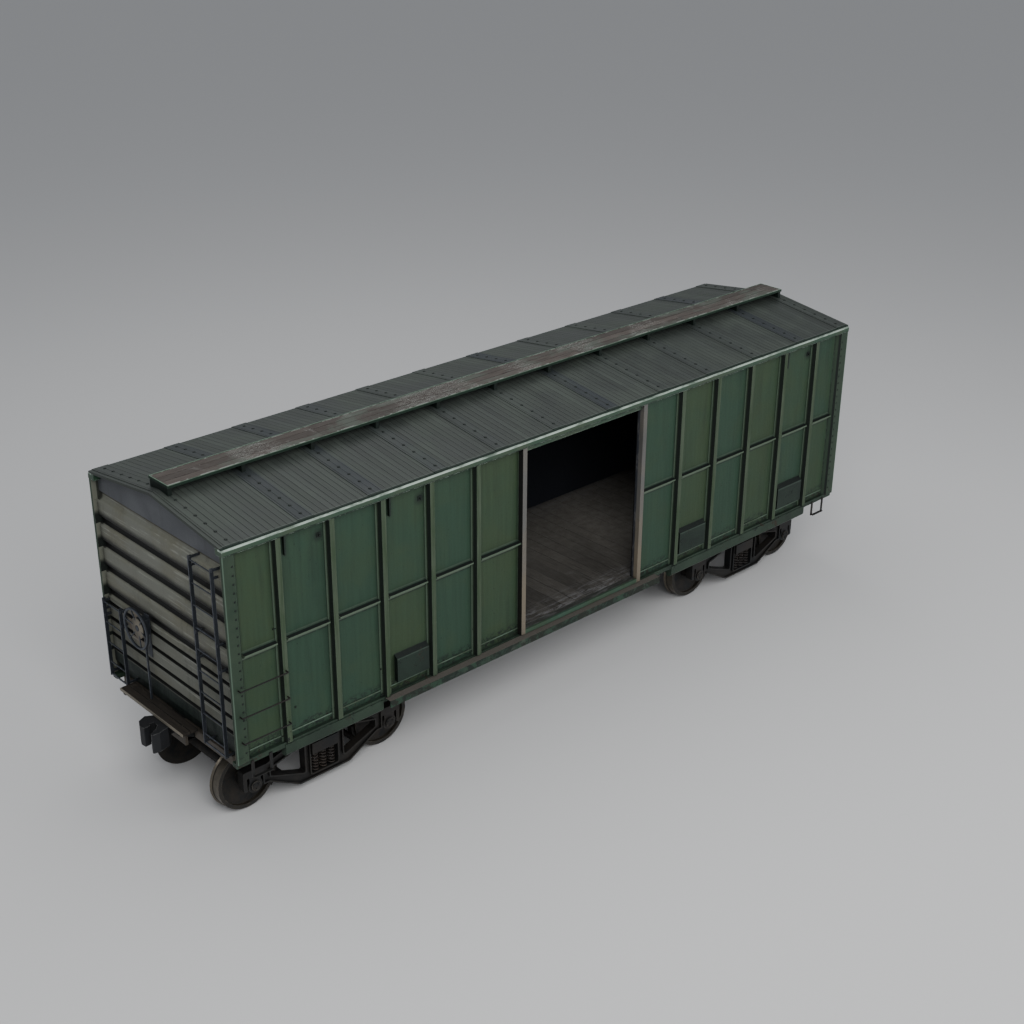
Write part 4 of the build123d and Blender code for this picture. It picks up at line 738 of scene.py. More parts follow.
def wood_finish(name, light, dark, across, pitch=0.0, scuffed=0.6, pale=(0.30, 0.27, 0.25, 1), seed=0.0, extra=None):
    """Weathered boards. Across is "X" or "Y"; without a pitch each board brings its own number as an attribute."""
    material, tree, shader = new_finish(name)
    vector, x, y, z = place(tree)
    side, along = (x, y) if across == "X" else (y, x)
    if pitch:
        boards = grow(tree, "ShaderNodeGroup", {"Place": side, "Pitch": pitch, "Gap": 0.005, "Seed": seed},
                      node_tree=bpy.data.node_groups["board joints"]).outputs
        number = boards["Board"]
        joint = times(tree, boards["Joint"], span(tree, number, 0.52, 0.68, 0.08, 0.95))
    else:
        number, joint = grow(tree, "ShaderNodeAttribute", attribute_name="board").outputs["Fac"], 0.0
    grain = grow(tree, "ShaderNodeGroup", {"Across": side, "Along": along, "Board": number},
                 node_tree=bpy.data.node_groups["wood grain"]).outputs
    colour = mix(tree, span(tree, grain["Grain"], 0.28, 0.72), dark, light)
    tone = span(tree, number, 0.0, 1.0, 0.36, 0.62)
    colour = mix(tree, 0.8, colour, grey(tree, tone), "OVERLAY")
    colour = mix(tree, times(tree, grain["Crack"], 0.6), colour, (0.006, 0.005, 0.005, 1))
    colour = mix(tree, times(tree, grain["Scuff"], scuffed), colour, pale)
    worn = use(tree, "edge wear", "Mask", radius=0.010, amount=0.8)
    colour = mix(tree, times(tree, worn, 0.7), colour, pale)
    if extra:
        colour = extra(tree, colour, vector, x, y, z)
    # Ambient occlusion paints shade, with dirt, into corners and gaps.
    shaded_corners = use(tree, "corner grime", "Mask", distance=0.12)
    colour = mix(tree, times(tree, shaded_corners, 0.75), colour, (0.004, 0.004, 0.004, 1))
    colour = mix(tree, joint, colour, (0.003, 0.003, 0.003, 1))
    height = calc(tree, "ADD", times(tree, grain["Grain"], 0.35), times(tree, grain["Crack"], -0.5))
    height = calc(tree, "SUBTRACT", height, times(tree, joint, 1.5))
    set_surface(tree, shader, colour, span(tree, grain["Scuff"], 0.0, 1.0, 0.80, 0.66), height, 0.003)
    return material


def floor_scrapes_and_shade(tree, colour, vector, x, y, z):
    """The floor is scraped pale towards the doorway, paler and mottled towards the far wall and along the car, and
    painted dark as shade towards the ends, deep inside the car.
    """
    # Painted shade deep inside, towards the ends.
    far = span(tree, absolute(tree, x), 3.2, 4.6)
    colour = mix(tree, times(tree, far, 0.8), colour, (0.006, 0.006, 0.005, 1))
    remote = calc(tree, "MAXIMUM", span(tree, y, -1.2, 1.44, 0.0, 0.85),
                  span(tree, absolute(tree, x), 0.9, 2.6, 0.0, 0.95))
    mottled = mix(tree, span(tree, noise(tree, vector, 6.5, 8.0, 0.85), 0.34, 0.66),
                  (0.135, 0.124, 0.108, 1), (0.205, 0.196, 0.178, 1))
    colour = mix(tree, times(tree, remote, calc(tree, "SUBTRACT", 1.0, far)), colour, mottled)
    lines = noise(tree, stretched(tree, vector, (0.16, 1.3, 1.0)), 16.0, 6.0, 0.8, 0.8)
    near = span(tree, absolute(tree, y), 0.9, 1.44)
    scraped = times(tree, span(tree, lines, 0.49, 0.57), near)
    return mix(tree, times(tree, scraped, 0.65), colour, (0.170, 0.170, 0.175, 1))


def wheel_finish():
    """Rolled wheels: worn bright tread and flange, rusty plates. The marks lie in rings, so they turn with a wheel."""
    material, tree, shader = new_finish("wheel steel")
    vector, x, y, z = place(tree)
    out = absolute(tree, y)
    sideways = absolute(tree, facing(tree)[1])
    rim = times(tree, calc(tree, "GREATER_THAN", out, 0.679), calc(tree, "LESS_THAN", out, 0.846))
    tread = times(tree, rim, calc(tree, "LESS_THAN", sideways, 0.9))
    # Distance from the axle's line, for whichever axle the wheel is on.
    beyond = calc(tree, "SUBTRACT", absolute(tree, x), INNER_AXLE)
    middle = times(tree, calc(tree, "ROUND", calc(tree, "DIVIDE", beyond, WHEELBASE)), WHEELBASE)
    from_axle = calc(tree, "SUBTRACT", beyond, middle)
    radius = calc(tree, "SQRT", calc(tree, "ADD", times(tree, from_axle, from_axle),
                                     calc(tree, "POWER", calc(tree, "SUBTRACT", z, AXLE_HEIGHT), 2.0)))
    face = span(tree, radius, 0.36, 0.40)
    patches = noise(tree, vector, 7.0, 6.0, 0.7)
    colour = mix(tree, span(tree, patches, 0.35, 0.65), (0.008, 0.009, 0.010, 1), (0.022, 0.018, 0.014, 1))
    colour = mix(tree, times(tree, face, 0.40), colour, (0.026, 0.024, 0.020, 1))
    bright = times(tree, times(tree, tread, face), span(tree, patches, 0.25, 0.60, 0.5, 1.0))
    colour = mix(tree, bright, colour, (0.125, 0.111, 0.088, 1))
    colour = mix(tree, times(tree, band(tree, out, 0.706, 0.716, 0.003), face), colour, (0.010, 0.009, 0.008, 1))
    worn = use(tree, "edge wear", "Mask", radius=0.014, amount=1.0)
    colour = mix(tree, times(tree, worn, 0.8), colour, (0.150, 0.136, 0.108, 1))
    # Ambient occlusion paints shade, with dirt, into corners.
    shaded_corners = use(tree, "corner grime", "Mask", distance=0.15)
    colour = mix(tree, times(tree, shaded_corners, 0.8), colour, (0.010, 0.010, 0.010, 1))
    fine = noise(tree, vector, 70.0, 4.0, 0.7)
    rough = calc(tree, "SUBTRACT", span(tree, fine, 0.2, 0.8, 0.55, 0.78), times(tree, bright, 0.28))
    set_surface(tree, shader, colour, rough, fine, 0.0008, metal=times(tree, bright, 0.85))
    return material


NODE_FINISHES = {"near_side_walls": "side sheet", "far_side_walls": "side sheet", "door": "side sheet",
                 "side_posts": "post", "corner_posts": "corner post", "side_hangers": "step pad", "side_grabs": "grab",
                 "belt_rails": "belt", "top_rails": "top rail", "door_hood": "sill", "side_sills": "sill",
                 "thresholds": "threshold", "lower_tracks": "track", "side_pads": "step pad", "sill_steps": "frame",
                 "door_posts": "jamb", "brake_end_wall": "end wall", "far_end_wall": "end wall",
                 "gable_plates": "gable", "saddles": "saddle", "end_ladders": "ladder", "brake_wheel": "ladder",
                 "brake_housing": "ladder", "couplers": "coupler", "door_rollers": "frame", "end_sills": "dusty sill",
                 "roof": "roof", "floor": "floor", "running_board": "board", "platforms": "platform", }


class BoxcarPaint(bpy.types.PropertyGroup):
    """Colours of the paints."""

    def colour(name, description, value):
        return bpy.props.FloatVectorProperty(name=name, description=description, default=value, size=4, subtype="COLOR",
                                             min=0.0, max=1.0)

    side_green: colour("Side green", "Bluish green of the side panels", (0.0175, 0.0440, 0.0258, 1.0))
    side_olive: colour("Side olive", "Olive green of the repainted panels", (0.0262, 0.0470, 0.0215, 1.0))
    post_green: colour("Post green", "Lighter green of posts and sills", (0.0385, 0.0580, 0.0345, 1.0))
    corner_green: colour("Corner green", "Green of the corner posts", (0.0160, 0.0325, 0.0195, 1.0))
    worn_green: colour("Worn green", "Bleached green of worn edges", (0.0850, 0.1300, 0.0950, 1.0))
    rail_green: colour("Rail green", "Green of the top rails", (0.0240, 0.0540, 0.0330, 1.0))
    threshold_green: colour("Threshold green", "Bright green of the thresholds", (0.0400, 0.0760, 0.0540, 1.0))
    pad_green: colour("Pad green", "Dark green of step pads and saddles", (0.0045, 0.0100, 0.0075, 1.0))
    end_cream: colour("End cream", "Cream of the corrugated ends", (0.1400, 0.1450, 0.1210, 1.0))
    gable_grey: colour("Gable grey", "Bluish grey above the corrugations", (0.0850, 0.0900, 0.0980, 1.0))
    roof_grey: colour("Roof grey", "Grey of the roof sheets", (0.0335, 0.0395, 0.0355, 1.0))
    roof_green: colour("Roof green", "Greenish grey of the roof sheets", (0.0475, 0.0570, 0.0485, 1.0))
    board_brown: colour("Running board", "Pinkish brown of the running board", (0.0800, 0.0700, 0.0620, 1.0))
    jamb: colour("Jamb", "Tan of the door posts", (0.1350, 0.1150, 0.0850, 1.0))
    jamb_grey: colour("Jamb grey", "Grey of the door posts' upper parts", (0.0950, 0.0930, 0.0880, 1.0))


class BoxcarStudio(bpy.types.PropertyGroup):
    """Floor and light."""

    key: bpy.props.FloatProperty(name="Key light", description="Power of the large soft light", default=4700.0,
                                 unit="POWER")
    fill: bpy.props.FloatProperty(name="Fill light", description="Power of the light from the other side",
                                  default=1700.0, unit="POWER")
    sky: bpy.props.FloatProperty(name="Sky", description="Strength of the even light from all round", default=0.40)
    top: bpy.props.FloatProperty(name="Top light", description="Power of the light overhead", default=1300.0,
                                 unit="POWER")


class BoxcarRivets(bpy.types.PropertyGroup):
    """Rivet and bolt heads."""

    corner_radius: bpy.props.FloatProperty(name="Corner rivet", description="Radius of the rivets on the corner posts",
                                           default=0.016, unit="LENGTH")
    corner_pitch: bpy.props.FloatProperty(name="Corner pitch", description="Distance between the corner rivets",
                                          default=0.122, unit="LENGTH")
    roof_radius: bpy.props.FloatProperty(name="Roof rivet", description="Radius of the rivets on the roof",
                                         default=0.024, unit="LENGTH")
    roof_count: bpy.props.IntProperty(name="Roof rivets", description="Rivets in a row down one slope", default=6)


class BoxcarBoards(bpy.types.PropertyGroup):
    """Boards of the running board and the platforms."""

    gap: bpy.props.FloatProperty(name="Gap", description="Gap between boards", default=0.009, unit="LENGTH")
    edging: bpy.props.FloatProperty(name="Edging", description="Width of the steel round the running board",
                                    default=0.014, unit="LENGTH")
    rows: bpy.props.IntProperty(name="Rows", description="Boards side by side in the running board", default=3)


class BoxcarSprings(bpy.types.PropertyGroup):
    """Coil springs in the trucks."""

    coil: bpy.props.FloatProperty(name="Coil", description="Radius to the middle of the outer wire", default=0.050,
                                  unit="LENGTH")
    wire: bpy.props.FloatProperty(name="Wire", description="Radius of the outer wire", default=0.012, unit="LENGTH")
    turns: bpy.props.FloatProperty(name="Turns", description="Turns of the outer coil", default=6.0)


# ---------------------------------------------------------------- tools for pieces

FINISHES = {}            # finishes by name, filled by the first step


def geometry_group(name, inputs):
    """An empty geometry tree with a geometry input, named inputs (kind, default) and a geometry output."""
    tree = bpy.data.node_groups.new(name, "GeometryNodeTree")
    tree.interface.new_socket("Geometry", in_out="INPUT", socket_type="NodeSocketGeometry")
    for label, (kind, value) in inputs.items():
        socket = tree.interface.new_socket(label, in_out="INPUT", socket_type="NodeSocket" + kind)
        if value is not None:
            socket.default_value = value
    tree.interface.new_socket("Geometry", in_out="OUTPUT", socket_type="NodeSocketGeometry")
    return tree, tree.nodes.new("NodeGroupInput").outputs, tree.nodes.new("NodeGroupOutput").inputs


def finish_tree(tree, given, out, instance, points, rotation=None, smooth=True):
    """Instances on points, realized, shaded and given their material."""
    inputs = {"Points": points, "Instance": instance}
    if rotation is not None:
        inputs["Rotation"] = rotation
    laid = grow(tree, "GeometryNodeInstanceOnPoints", inputs).outputs[0]
    whole = grow(tree, "GeometryNodeRealizeInstances", {"Geometry": laid}).outputs[0]
    shaded = grow(tree, "GeometryNodeSetShadeSmooth", {"Geometry": whole, "Shade Smooth": smooth}).outputs[0]
    coated = grow(tree, "GeometryNodeSetMaterial", {"Geometry": shaded, "Material": given["Material"]}).outputs[0]
    tree.links.new(coated, out["Geometry"])


def facing_rotation(tree):
    """Turns a piece's Z axis to the direction that its point carries."""
    named = grow(tree, "GeometryNodeInputNamedAttribute", {"Name": "facing"},
                 data_type="FLOAT_VECTOR").outputs["Attribute"]
    return grow(tree, "FunctionNodeAlignRotationToVector", {"Vector": named}, axis="Z").outputs["Rotation"]


def build_rivet_heads():
    """Domed rivet heads on points."""
    sizes = {"Radius": ("Float", 0.012), "Height": ("Float", 0.007), "Material": ("Material", None)}
    tree, given, out = geometry_group("rivet heads", sizes)
    ball = grow(tree, "GeometryNodeMeshUVSphere", {"Segments": 8, "Rings": 4, "Radius": 1.0}).outputs["Mesh"]
    size = grow(tree, "ShaderNodeCombineXYZ", {"X": given["Radius"], "Y": given["Radius"],
                                               "Z": given["Height"]}).outputs[0]
    head = grow(tree, "GeometryNodeTransform", {"Geometry": ball, "Scale": size}).outputs[0]
    finish_tree(tree, given, out, head, given["Geometry"], facing_rotation(tree))


def build_bolt_heads():
    """Six-sided bolt heads on points."""
    sizes = {"Radius": ("Float", 0.012), "Height": ("Float", 0.009), "Material": ("Material", None)}
    tree, given, out = geometry_group("bolt heads", sizes)
    size = {"Vertices": 6, "Radius": given["Radius"], "Depth": times(tree, given["Height"], 2.0)}
    head = grow(tree, "GeometryNodeMeshCylinder", size).outputs["Mesh"]
    finish_tree(tree, given, out, head, given["Geometry"], facing_rotation(tree), smooth=False)


def build_laid_boards():
    """Boards on points, each a little out of line and with its own number for the wood."""
    sizes = {"Size": ("Vector", (1.0, 0.1, 0.04)), "Seed": ("Int", 0), "Material": ("Material", None)}
    tree, given, out = geometry_group("laid boards", sizes)
    board = grow(tree, "GeometryNodeMeshCube", {"Size": given["Size"]}).outputs["Mesh"]
    turn = grow(tree, "FunctionNodeRandomValue", {0: (0.0, 0.0, -0.0008), 1: (0.0, 0.0, 0.0008), "Seed": given["Seed"]},
                data_type="FLOAT_VECTOR").outputs[0]
    laid = grow(tree, "GeometryNodeInstanceOnPoints", {"Points": given["Geometry"], "Instance": board,
                                                       "Rotation": turn}).outputs[0]
    number = grow(tree, "FunctionNodeRandomValue", {"Seed": given["Seed"]}, data_type="FLOAT").outputs[1]
    named = grow(tree, "GeometryNodeStoreNamedAttribute", {"Geometry": laid, "Name": "board", "Value": number},
                 data_type="FLOAT", domain="INSTANCE").outputs[0]
    whole = grow(tree, "GeometryNodeRealizeInstances", {"Geometry": named}).outputs[0]
    coated = grow(tree, "GeometryNodeSetMaterial", {"Geometry": whole, "Material": given["Material"]}).outputs[0]
    tree.links.new(coated, out["Geometry"])


def build_coil_springs():
    """A pair of nested coil springs standing on each point."""
    sizes = {"Height": ("Float", 0.3), "Coil": ("Float", 0.05), "Wire": ("Float", 0.012), "Turns": ("Float", 6.0),
             "Material": ("Material", None)}
    tree, given, out = geometry_group("coil springs", sizes)
    both = grow(tree, "GeometryNodeJoinGeometry")
    for share, wire_share, turns_share in ((1.0, 1.0, 1.0), (0.56, 0.62, 1.6)):
        wire = times(tree, given["Wire"], wire_share)
        radius = times(tree, given["Coil"], share)
        rise = calc(tree, "SUBTRACT", given["Height"], times(tree, wire, 2.0))
        turns = times(tree, given["Turns"], turns_share)
        size = {"Resolution": 14, "Rotations": turns, "Start Radius": radius, "End Radius": radius, "Height": rise}
        coil = grow(tree, "GeometryNodeCurveSpiral", size).outputs[0]
        ring = grow(tree, "GeometryNodeCurvePrimitiveCircle", {"Resolution": 7, "Radius": wire}).outputs[0]
        rod = grow(tree, "GeometryNodeCurveToMesh", {"Curve": coil, "Profile Curve": ring,
                                                     "Fill Caps": True}).outputs[0]
        lift = grow(tree, "ShaderNodeCombineXYZ", {"Z": wire}).outputs[0]
        raised = grow(tree, "GeometryNodeTransform", {"Geometry": rod, "Translation": lift}).outputs[0]
        tree.links.new(raised, both.inputs[0])
    finish_tree(tree, given, out, both.outputs[0], given["Geometry"])


def piece_from(name, mesh, body, finish=None):
    """Links a mesh as a piece of the car that rides on a body."""
    piece = bpy.data.objects.new(name, mesh)
    bpy.context.scene.collection.objects.link(piece)
    if finish:
        mesh.materials.append(FINISHES[finish])
    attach(piece, body)
    return piece


def grown_piece(name, group, points, body, finish, bevel=0.0, **sizes):
    """Runs a geometry tree on points (x, y, z, facing x, y, z) and keeps the result as a plain mesh."""
    mesh = bpy.data.meshes.new(name)
    mesh.from_pydata([point[:3] for point in points], [], [])
    facings = mesh.attributes.new("facing", "FLOAT_VECTOR", "POINT")
    for item, point in zip(facings.data, points):
        item.vector = point[3:] if len(point) == 6 else (0, 0, 1)
    helper = bpy.data.objects.new(name + "_points", mesh)
    bpy.context.scene.collection.objects.link(helper)
    modifier = helper.modifiers.new("tree", "NODES")
    modifier.node_group = bpy.data.node_groups[group]
    sockets = {item.name: item.identifier for item in modifier.node_group.interface.items_tree
               if item.in_out == "INPUT"}
    modifier[sockets["Material"]] = FINISHES[finish]
    for label, value in sizes.items():
        modifier[sockets[label.capitalize()]] = value
    if bevel:
        rounding = helper.modifiers.new("bevel", "BEVEL")
        rounding.width, rounding.segments = bevel, 1
    bpy.context.view_layer.update()
    result = bpy.data.meshes.new_from_object(helper.evaluated_get(bpy.context.evaluated_depsgraph_get()))
    result.name = name
    if not result.polygons:
        raise RuntimeError(f"{name} came out empty")
    bpy.data.objects.remove(helper)
    bpy.data.meshes.remove(mesh)
    return piece_from(name, result, body)


def bars_mesh(name, bars, bevel=0.0):
    """Straight bars as one mesh, each given by its lowest and highest corner."""
    shape = bmesh.new()
    for low, high in bars:
        low, high = Vector(map(min, low, high)), Vector(map(max, low, high))
        made = bmesh.ops.create_cube(shape, size=1.0)["verts"]
        bmesh.ops.scale(shape, vec=high - low, verts=made)
        bmesh.ops.translate(shape, vec=(low + high) / 2, verts=made)
    if bevel:
        bmesh.ops.bevel(shape, geom=shape.edges[:], offset=bevel, segments=1, affect="EDGES")
    bmesh.ops.recalc_face_normals(shape, faces=shape.faces)
    mesh = bpy.data.meshes.new(name)
    shape.to_mesh(mesh)
    shape.free()
    return mesh


def tube_mesh(name, lines, resolution=2):
    """Round bars along lines of points: (points, radius, closed)."""
    curve = bpy.data.curves.new(name, "CURVE")
    curve.dimensions, curve.bevel_depth, curve.bevel_resolution, curve.use_fill_caps = "3D", 1.0, resolution, True
    for points, radius, closed in lines:
        spline = curve.splines.new("POLY")
        spline.points.add(len(points) - 1)
        spline.use_cyclic_u = closed
        for item, point in zip(spline.points, points):
            item.co, item.radius = (*point, 1.0), radius
    helper = bpy.data.objects.new(name + "_lines", curve)
    bpy.context.scene.collection.objects.link(helper)
    mesh = bpy.data.meshes.new_from_object(helper)
    bpy.data.objects.remove(helper)
    bpy.data.curves.remove(curve)
    shape = bmesh.new()
    shape.from_mesh(mesh)
    bmesh.ops.remove_doubles(shape, verts=shape.verts, dist=1e-5)
    bmesh.ops.recalc_face_normals(shape, faces=shape.faces)
    for face in shape.faces:
        face.smooth = True
    shape.to_mesh(mesh)
    shape.free()
    return mesh


def both_corners(points):
    """The points and the same points turned half round about the car's middle."""
    return points + [(-x, -y, z, -u, -v, w) for x, y, z, u, v, w in points]


def both_bars(bars):
    return bars + [((-a[0], -a[1], a[2]), (-b[0], -b[1], b[2])) for a, b in bars]


class BOXCAR_OT_finish_nodes(bpy.types.Operator):
    """Build the shared effects and paint every solid of the car"""
    bl_idname = "boxcar.finish_nodes"
    bl_label = "Paint the solids"

    def execute(self, context):
        for build in (build_edge_wear, build_corner_grime_and_shade, build_chips, build_streaks, build_boards, build_wood_grain):
            build()
        FINISHES.update(build_finishes(context.scene.boxcar_paint))
        made = FINISHES
        for name, node in NODES.items():
            default = "wheel" if name.endswith("wheelset") else "truck" if "truck" in name else "frame"
            finish = made[NODE_FINISHES.get(name, default)]
            node.data.materials.clear()
            node.data.materials.append(finish)
        return {"FINISHED"}


class BOXCAR_OT_rivets(bpy.types.Operator):
    """Set the rivets of the corner posts and the roof, and the bolts of the axle caps"""
    bl_idname = "boxcar.rivets"
    bl_label = "Rivets and bolts"

    def execute(self, context):
        for build in (build_rivet_heads, build_bolt_heads, build_laid_boards, build_coil_springs):
            build()
        rivets = context.scene.boxcar_rivets
        rows = int(RIVET_RISE / rivets.corner_pitch)
        corner = [(end * CORNER_RIVET_LINE, -SIDE_OUT, SIDE_FOOT + RIVET_FOOT + n * rivets.corner_pitch, 0, -1, 0)
                  for end in (-1, 1) for n in range(rows + 1)]
        grown_piece("corner_rivets", "rivet heads", both_corners(corner), "car_body", "rivet",
                    radius=rivets.corner_radius, height=rivets.corner_radius * 0.5)
        slope = math.atan(ROOF_SLOPE)
        roof = []
        for n in range(SADDLE_COUNT):
            for row in range(rivets.roof_count):
                y = -ROOF_RIVET_START - row * ROOF_RIVET_REACH / (rivets.roof_count - 1)
                roof.append((-SADDLE_ENDS + n * SADDLE_PITCH, y, RIDGE + SEAM_RISE + y * ROOF_SLOPE, 0,
                             -math.sin(slope), math.cos(slope)))
        grown_piece("roof_rivets", "rivet heads", both_corners(roof), "car_body", "rivet",
                    radius=rivets.roof_radius, height=rivets.roof_radius * 0.45)
        for name in NODES:
            if name.endswith("_wheelset"):
                low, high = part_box(name)
                x, z = (low.x + high.x) / 2, (low.z + high.z) / 2
                caps = []
                for side, face in ((-1, low.y), (1, high.y)):
                    for turn in CAP_BOLT_TURNS:
                        caps.append((x + CAP_BOLT_CIRCLE * math.cos(turn), face, z + CAP_BOLT_CIRCLE * math.sin(turn),
                                     0, side, 0))
                grown_piece(name.replace("wheelset", "cap_bolts"), "bolt heads", caps,
                            name.replace("wheelset", "axle"), "truck", radius=0.014, height=0.009)
        return {"FINISHED"}


class BOXCAR_OT_running_board(bpy.types.Operator):
    """Lay the boards of the running board and its steel edging"""
    bl_idname = "boxcar.running_board"
    bl_label = "Running board"

    def execute(self, context):
        boards = context.scene.boxcar_boards
        low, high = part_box("running_board")
        low.x, high.x = -BOARD_END, BOARD_END
        inner = (high.y - boards.edging) - (low.y + boards.edging)
        width = (inner - (boards.rows + 1) * boards.gap * 0.5) / boards.rows
        lengths = 5
        reach = (high.x - low.x - 2 * boards.edging) / lengths
        points = []
        for row in range(boards.rows):
            y = low.y + boards.edging + boards.gap * 0.5 + width / 2 + row * (width + boards.gap * 0.5)
            for n in range(lengths):
                points.append((low.x + boards.edging + (n + 0.5) * reach, y, (low.z + high.z) / 2))
        wood = grown_piece("running_board_wood", "laid boards", points, "car_body", "board", bevel=0.003,
                           size=(reach - 0.003, width - boards.gap * 0.5, high.z - low.z - 0.002), seed=4)
        edge = boards.edging
        frame_bars = []
        for side in (-1, 1):
            frame_bars.append(((low.x, side * high.y, low.z), (high.x, side * (high.y - edge), high.z)))
            frame_bars.append(((side * high.x, low.y + edge, low.z), (side * (high.x - edge), high.y - edge, high.z)))
        piece = piece_from("running_board_edging", bars_mesh("running_board_edging", frame_bars, 0.002), "car_body",
                           "edging")
        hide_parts("running_board")
        return {"FINISHED"}


class BOXCAR_OT_platforms(bpy.types.Operator):
    """Lay the boards of the crossover platforms"""
    bl_idname = "boxcar.platforms"
    bl_label = "Crossover platforms"

    def execute(self, context):
        low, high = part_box("platforms")
        y_low, y_high = PLATFORM_SIDES
        first = low.x + PLATFORM_LIP + 0.057
        points = []
        for n in range(2):
            points.append((first + n * BOARD_PITCH, (y_low + y_high) / 2, (low.z + high.z) / 2, 0, 0, 1))
        wood = grown_piece("platform_boards", "laid boards", [point[:3] for point in both_corners(points)], "car_body",
                           "platform", bevel=0.003, size=(BOARD_WIDTH, y_high - y_low, high.z - low.z - 0.002), seed=9)
        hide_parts("platforms")
        edge = both_bars([((low.x, y_low, low.z), (low.x + 0.010, y_high, high.z)),
                          ((low.x + 0.010, y_low + 0.2, low.z + 0.004),
                           (low.x + PLATFORM_WIDTH, y_low + 0.206, low.z + 0.030)),
                          ((low.x + 0.010, y_high - 0.2, low.z + 0.004),
                           (low.x + PLATFORM_WIDTH, y_high - 0.206, low.z + 0.030))])
        piece_from("platform_edging", bars_mesh("platform_edging", edge), "car_body", "worn edge")
        return {"FINISHED"}


class BOXCAR_OT_springs(bpy.types.Operator):
    """Coil springs in both trucks"""
    bl_idname = "boxcar.springs"
    bl_label = "Truck springs"

    def execute(self, context):
        springs = context.scene.boxcar_springs
        for truck in ("brake_truck", "far_truck"):
            low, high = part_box(truck + "_springs")
            middle = (low.x + high.x) / 2
            points = [(middle + u, side * SPRING_LINE, low.z) for side in (-1, 1) for u in SPRING_PLACES]
            coils = grown_piece(truck + "_coils", "coil springs", points, truck, "spring", height=high.z - low.z,
                                coil=springs.coil, wire=springs.wire, turns=springs.turns)
            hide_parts(truck + "_springs")
        return {"FINISHED"}


class BOXCAR_OT_brake_wheel(bpy.types.Operator):
    """Round rim, dished spokes, hub and shaft of the hand brake wheel"""
    bl_idname = "boxcar.brake_wheel"
    bl_label = "Brake wheel"

    def execute(self, context):
        low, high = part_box("brake_wheel")
        y, z = (low.y + high.y) / 2, (low.z + high.z) / 2
        rim = WHEEL_RIM
        radius = (high.z - low.z) / 2 - rim
        front = low.x + rim

        def ring(size, x, count):
            return [(x, y + size * math.cos(k * math.tau / count), z + size * math.sin(k * math.tau / count))
                    for k in range(count)]

        lines = [(ring(radius, front, 40), rim, True)]
        for k in range(6):
            c, s = math.cos(k * math.tau / 6 + 0.2), math.sin(k * math.tau / 6 + 0.2)
            spoke = [(front + dish, y + size * c, z + size * s) for size, dish in SPOKE_DISH + ((radius, 0.0),)]
            lines.append((spoke, SPOKE_WIRE, False))
        lines.append(([(front + 0.012, y, z), (front + 0.055, y, z)], HUB_RADIUS, False))
        lines.append(([(front + 0.02, y, z), (high.x, y, z)], SHAFT_RADIUS, False))
        web = [([(front + 0.016, y, z), (front + 0.024, y, z)], WEB_RADIUS, False)]
        piece_from("brake_wheel_web", tube_mesh("brake_wheel_web", web, 8), "car_body", "worn edge")
        wheel = piece_from("brake_wheel_round", tube_mesh("brake_wheel_round", lines), "car_body", "ladder")
        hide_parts("brake_wheel")
        return {"FINISHED"}


class BOXCAR_OT_ladder_brackets(bpy.types.Operator):
    """Brackets that hold the ladders to the ends, and the bars joining their feet"""
    bl_idname = "boxcar.ladder_brackets"
    bl_label = "Ladder brackets"

    def execute(self, context):
        front, wall = -LADDER_FRONT, -END_GROOVE + 0.002
        bars = []
        for y, heights in ((TALL_LADDER[0], TALL_BRACKETS), (TALL_LADDER[1], TALL_BRACKETS),
                           (SHORT_LADDER[1], SHORT_BRACKETS), (SHORT_LADDER[0], SHORT_BRACKETS)):
            for z in heights:
                bars.append(((front + 0.004, y - 0.011, z - 0.016), (wall, y + 0.011, z + 0.016)))
                bars.append(((front - 0.006, y - 0.020, z - 0.024), (front + 0.006, y + 0.020, z + 0.024)))
        for (left, right), z in ((TALL_LADDER, 1.362), (SHORT_LADDER, 1.336)):
            bars.append(((front - 0.004, left - 0.010, z - 0.014), (front + 0.010, right + 0.010, z + 0.014)))
        piece_from("ladder_brackets", bars_mesh("ladder_brackets", both_bars(bars), 0.002), "car_body", "ladder")
        return {"FINISHED"}


class BOXCAR_OT_panel_trim(bpy.types.Operator):
    """Lips along the foot of the panels, and the small fittings on them"""
    bl_idname = "boxcar.panel_trim"
    bl_label = "Panel trim"

    def execute(self, context):
        lips = []
        for start, stop in zip(BAY_STOPS[:-1], BAY_STOPS[1:]):
            if start < 0 < stop:
                continue
            left = start + (WALL_CLEAR if abs(start) in (6.02, 1.28) else POST_CLEAR)
            right = stop - (WALL_CLEAR if abs(stop) in (6.02, 1.28) else POST_CLEAR)
            lips.append(((left, -SHEET_OUT, LIP_FOOT), (right, -SHEET_OUT - LIP_DEPTH, LIP_TOP)))
        lips.append(((5.435 + POST_CLEAR, -SHEET_OUT, LIP_FOOT), (6.016, -SHEET_OUT - LIP_DEPTH, LIP_TOP)))
        piece_from("panel_lips", bars_mesh("panel_lips", both_bars(lips), 0.002), "car_body", "lip")
        plates = []
        for x, z in SHEET_FITTINGS:
            plates.append(((x - 0.034, -SHEET_OUT, z - 0.030), (x + 0.034, -SHEET_OUT - 0.008, z + 0.036)))
            plates.append(((x - 0.010, -SHEET_OUT - 0.008, z - 0.010), (x + 0.010, -SHEET_OUT - 0.034, z + 0.012)))
        plates.append(((-5.545, -SHEET_OUT, 3.018), (-5.465, -SHEET_OUT - 0.012, 3.034)))
        for x, z in ((-5.267, 1.754), (-3.846, 1.755), (-2.171, 1.742)):
            plates.append(((x - 0.012, -SHEET_OUT, z - 0.014), (x + 0.012, -SHEET_OUT - 0.010, z + 0.014)))
        piece_from("panel_fittings", bars_mesh("panel_fittings", both_bars(plates), 0.002), "car_body", "rivet")
        return {"FINISHED"}


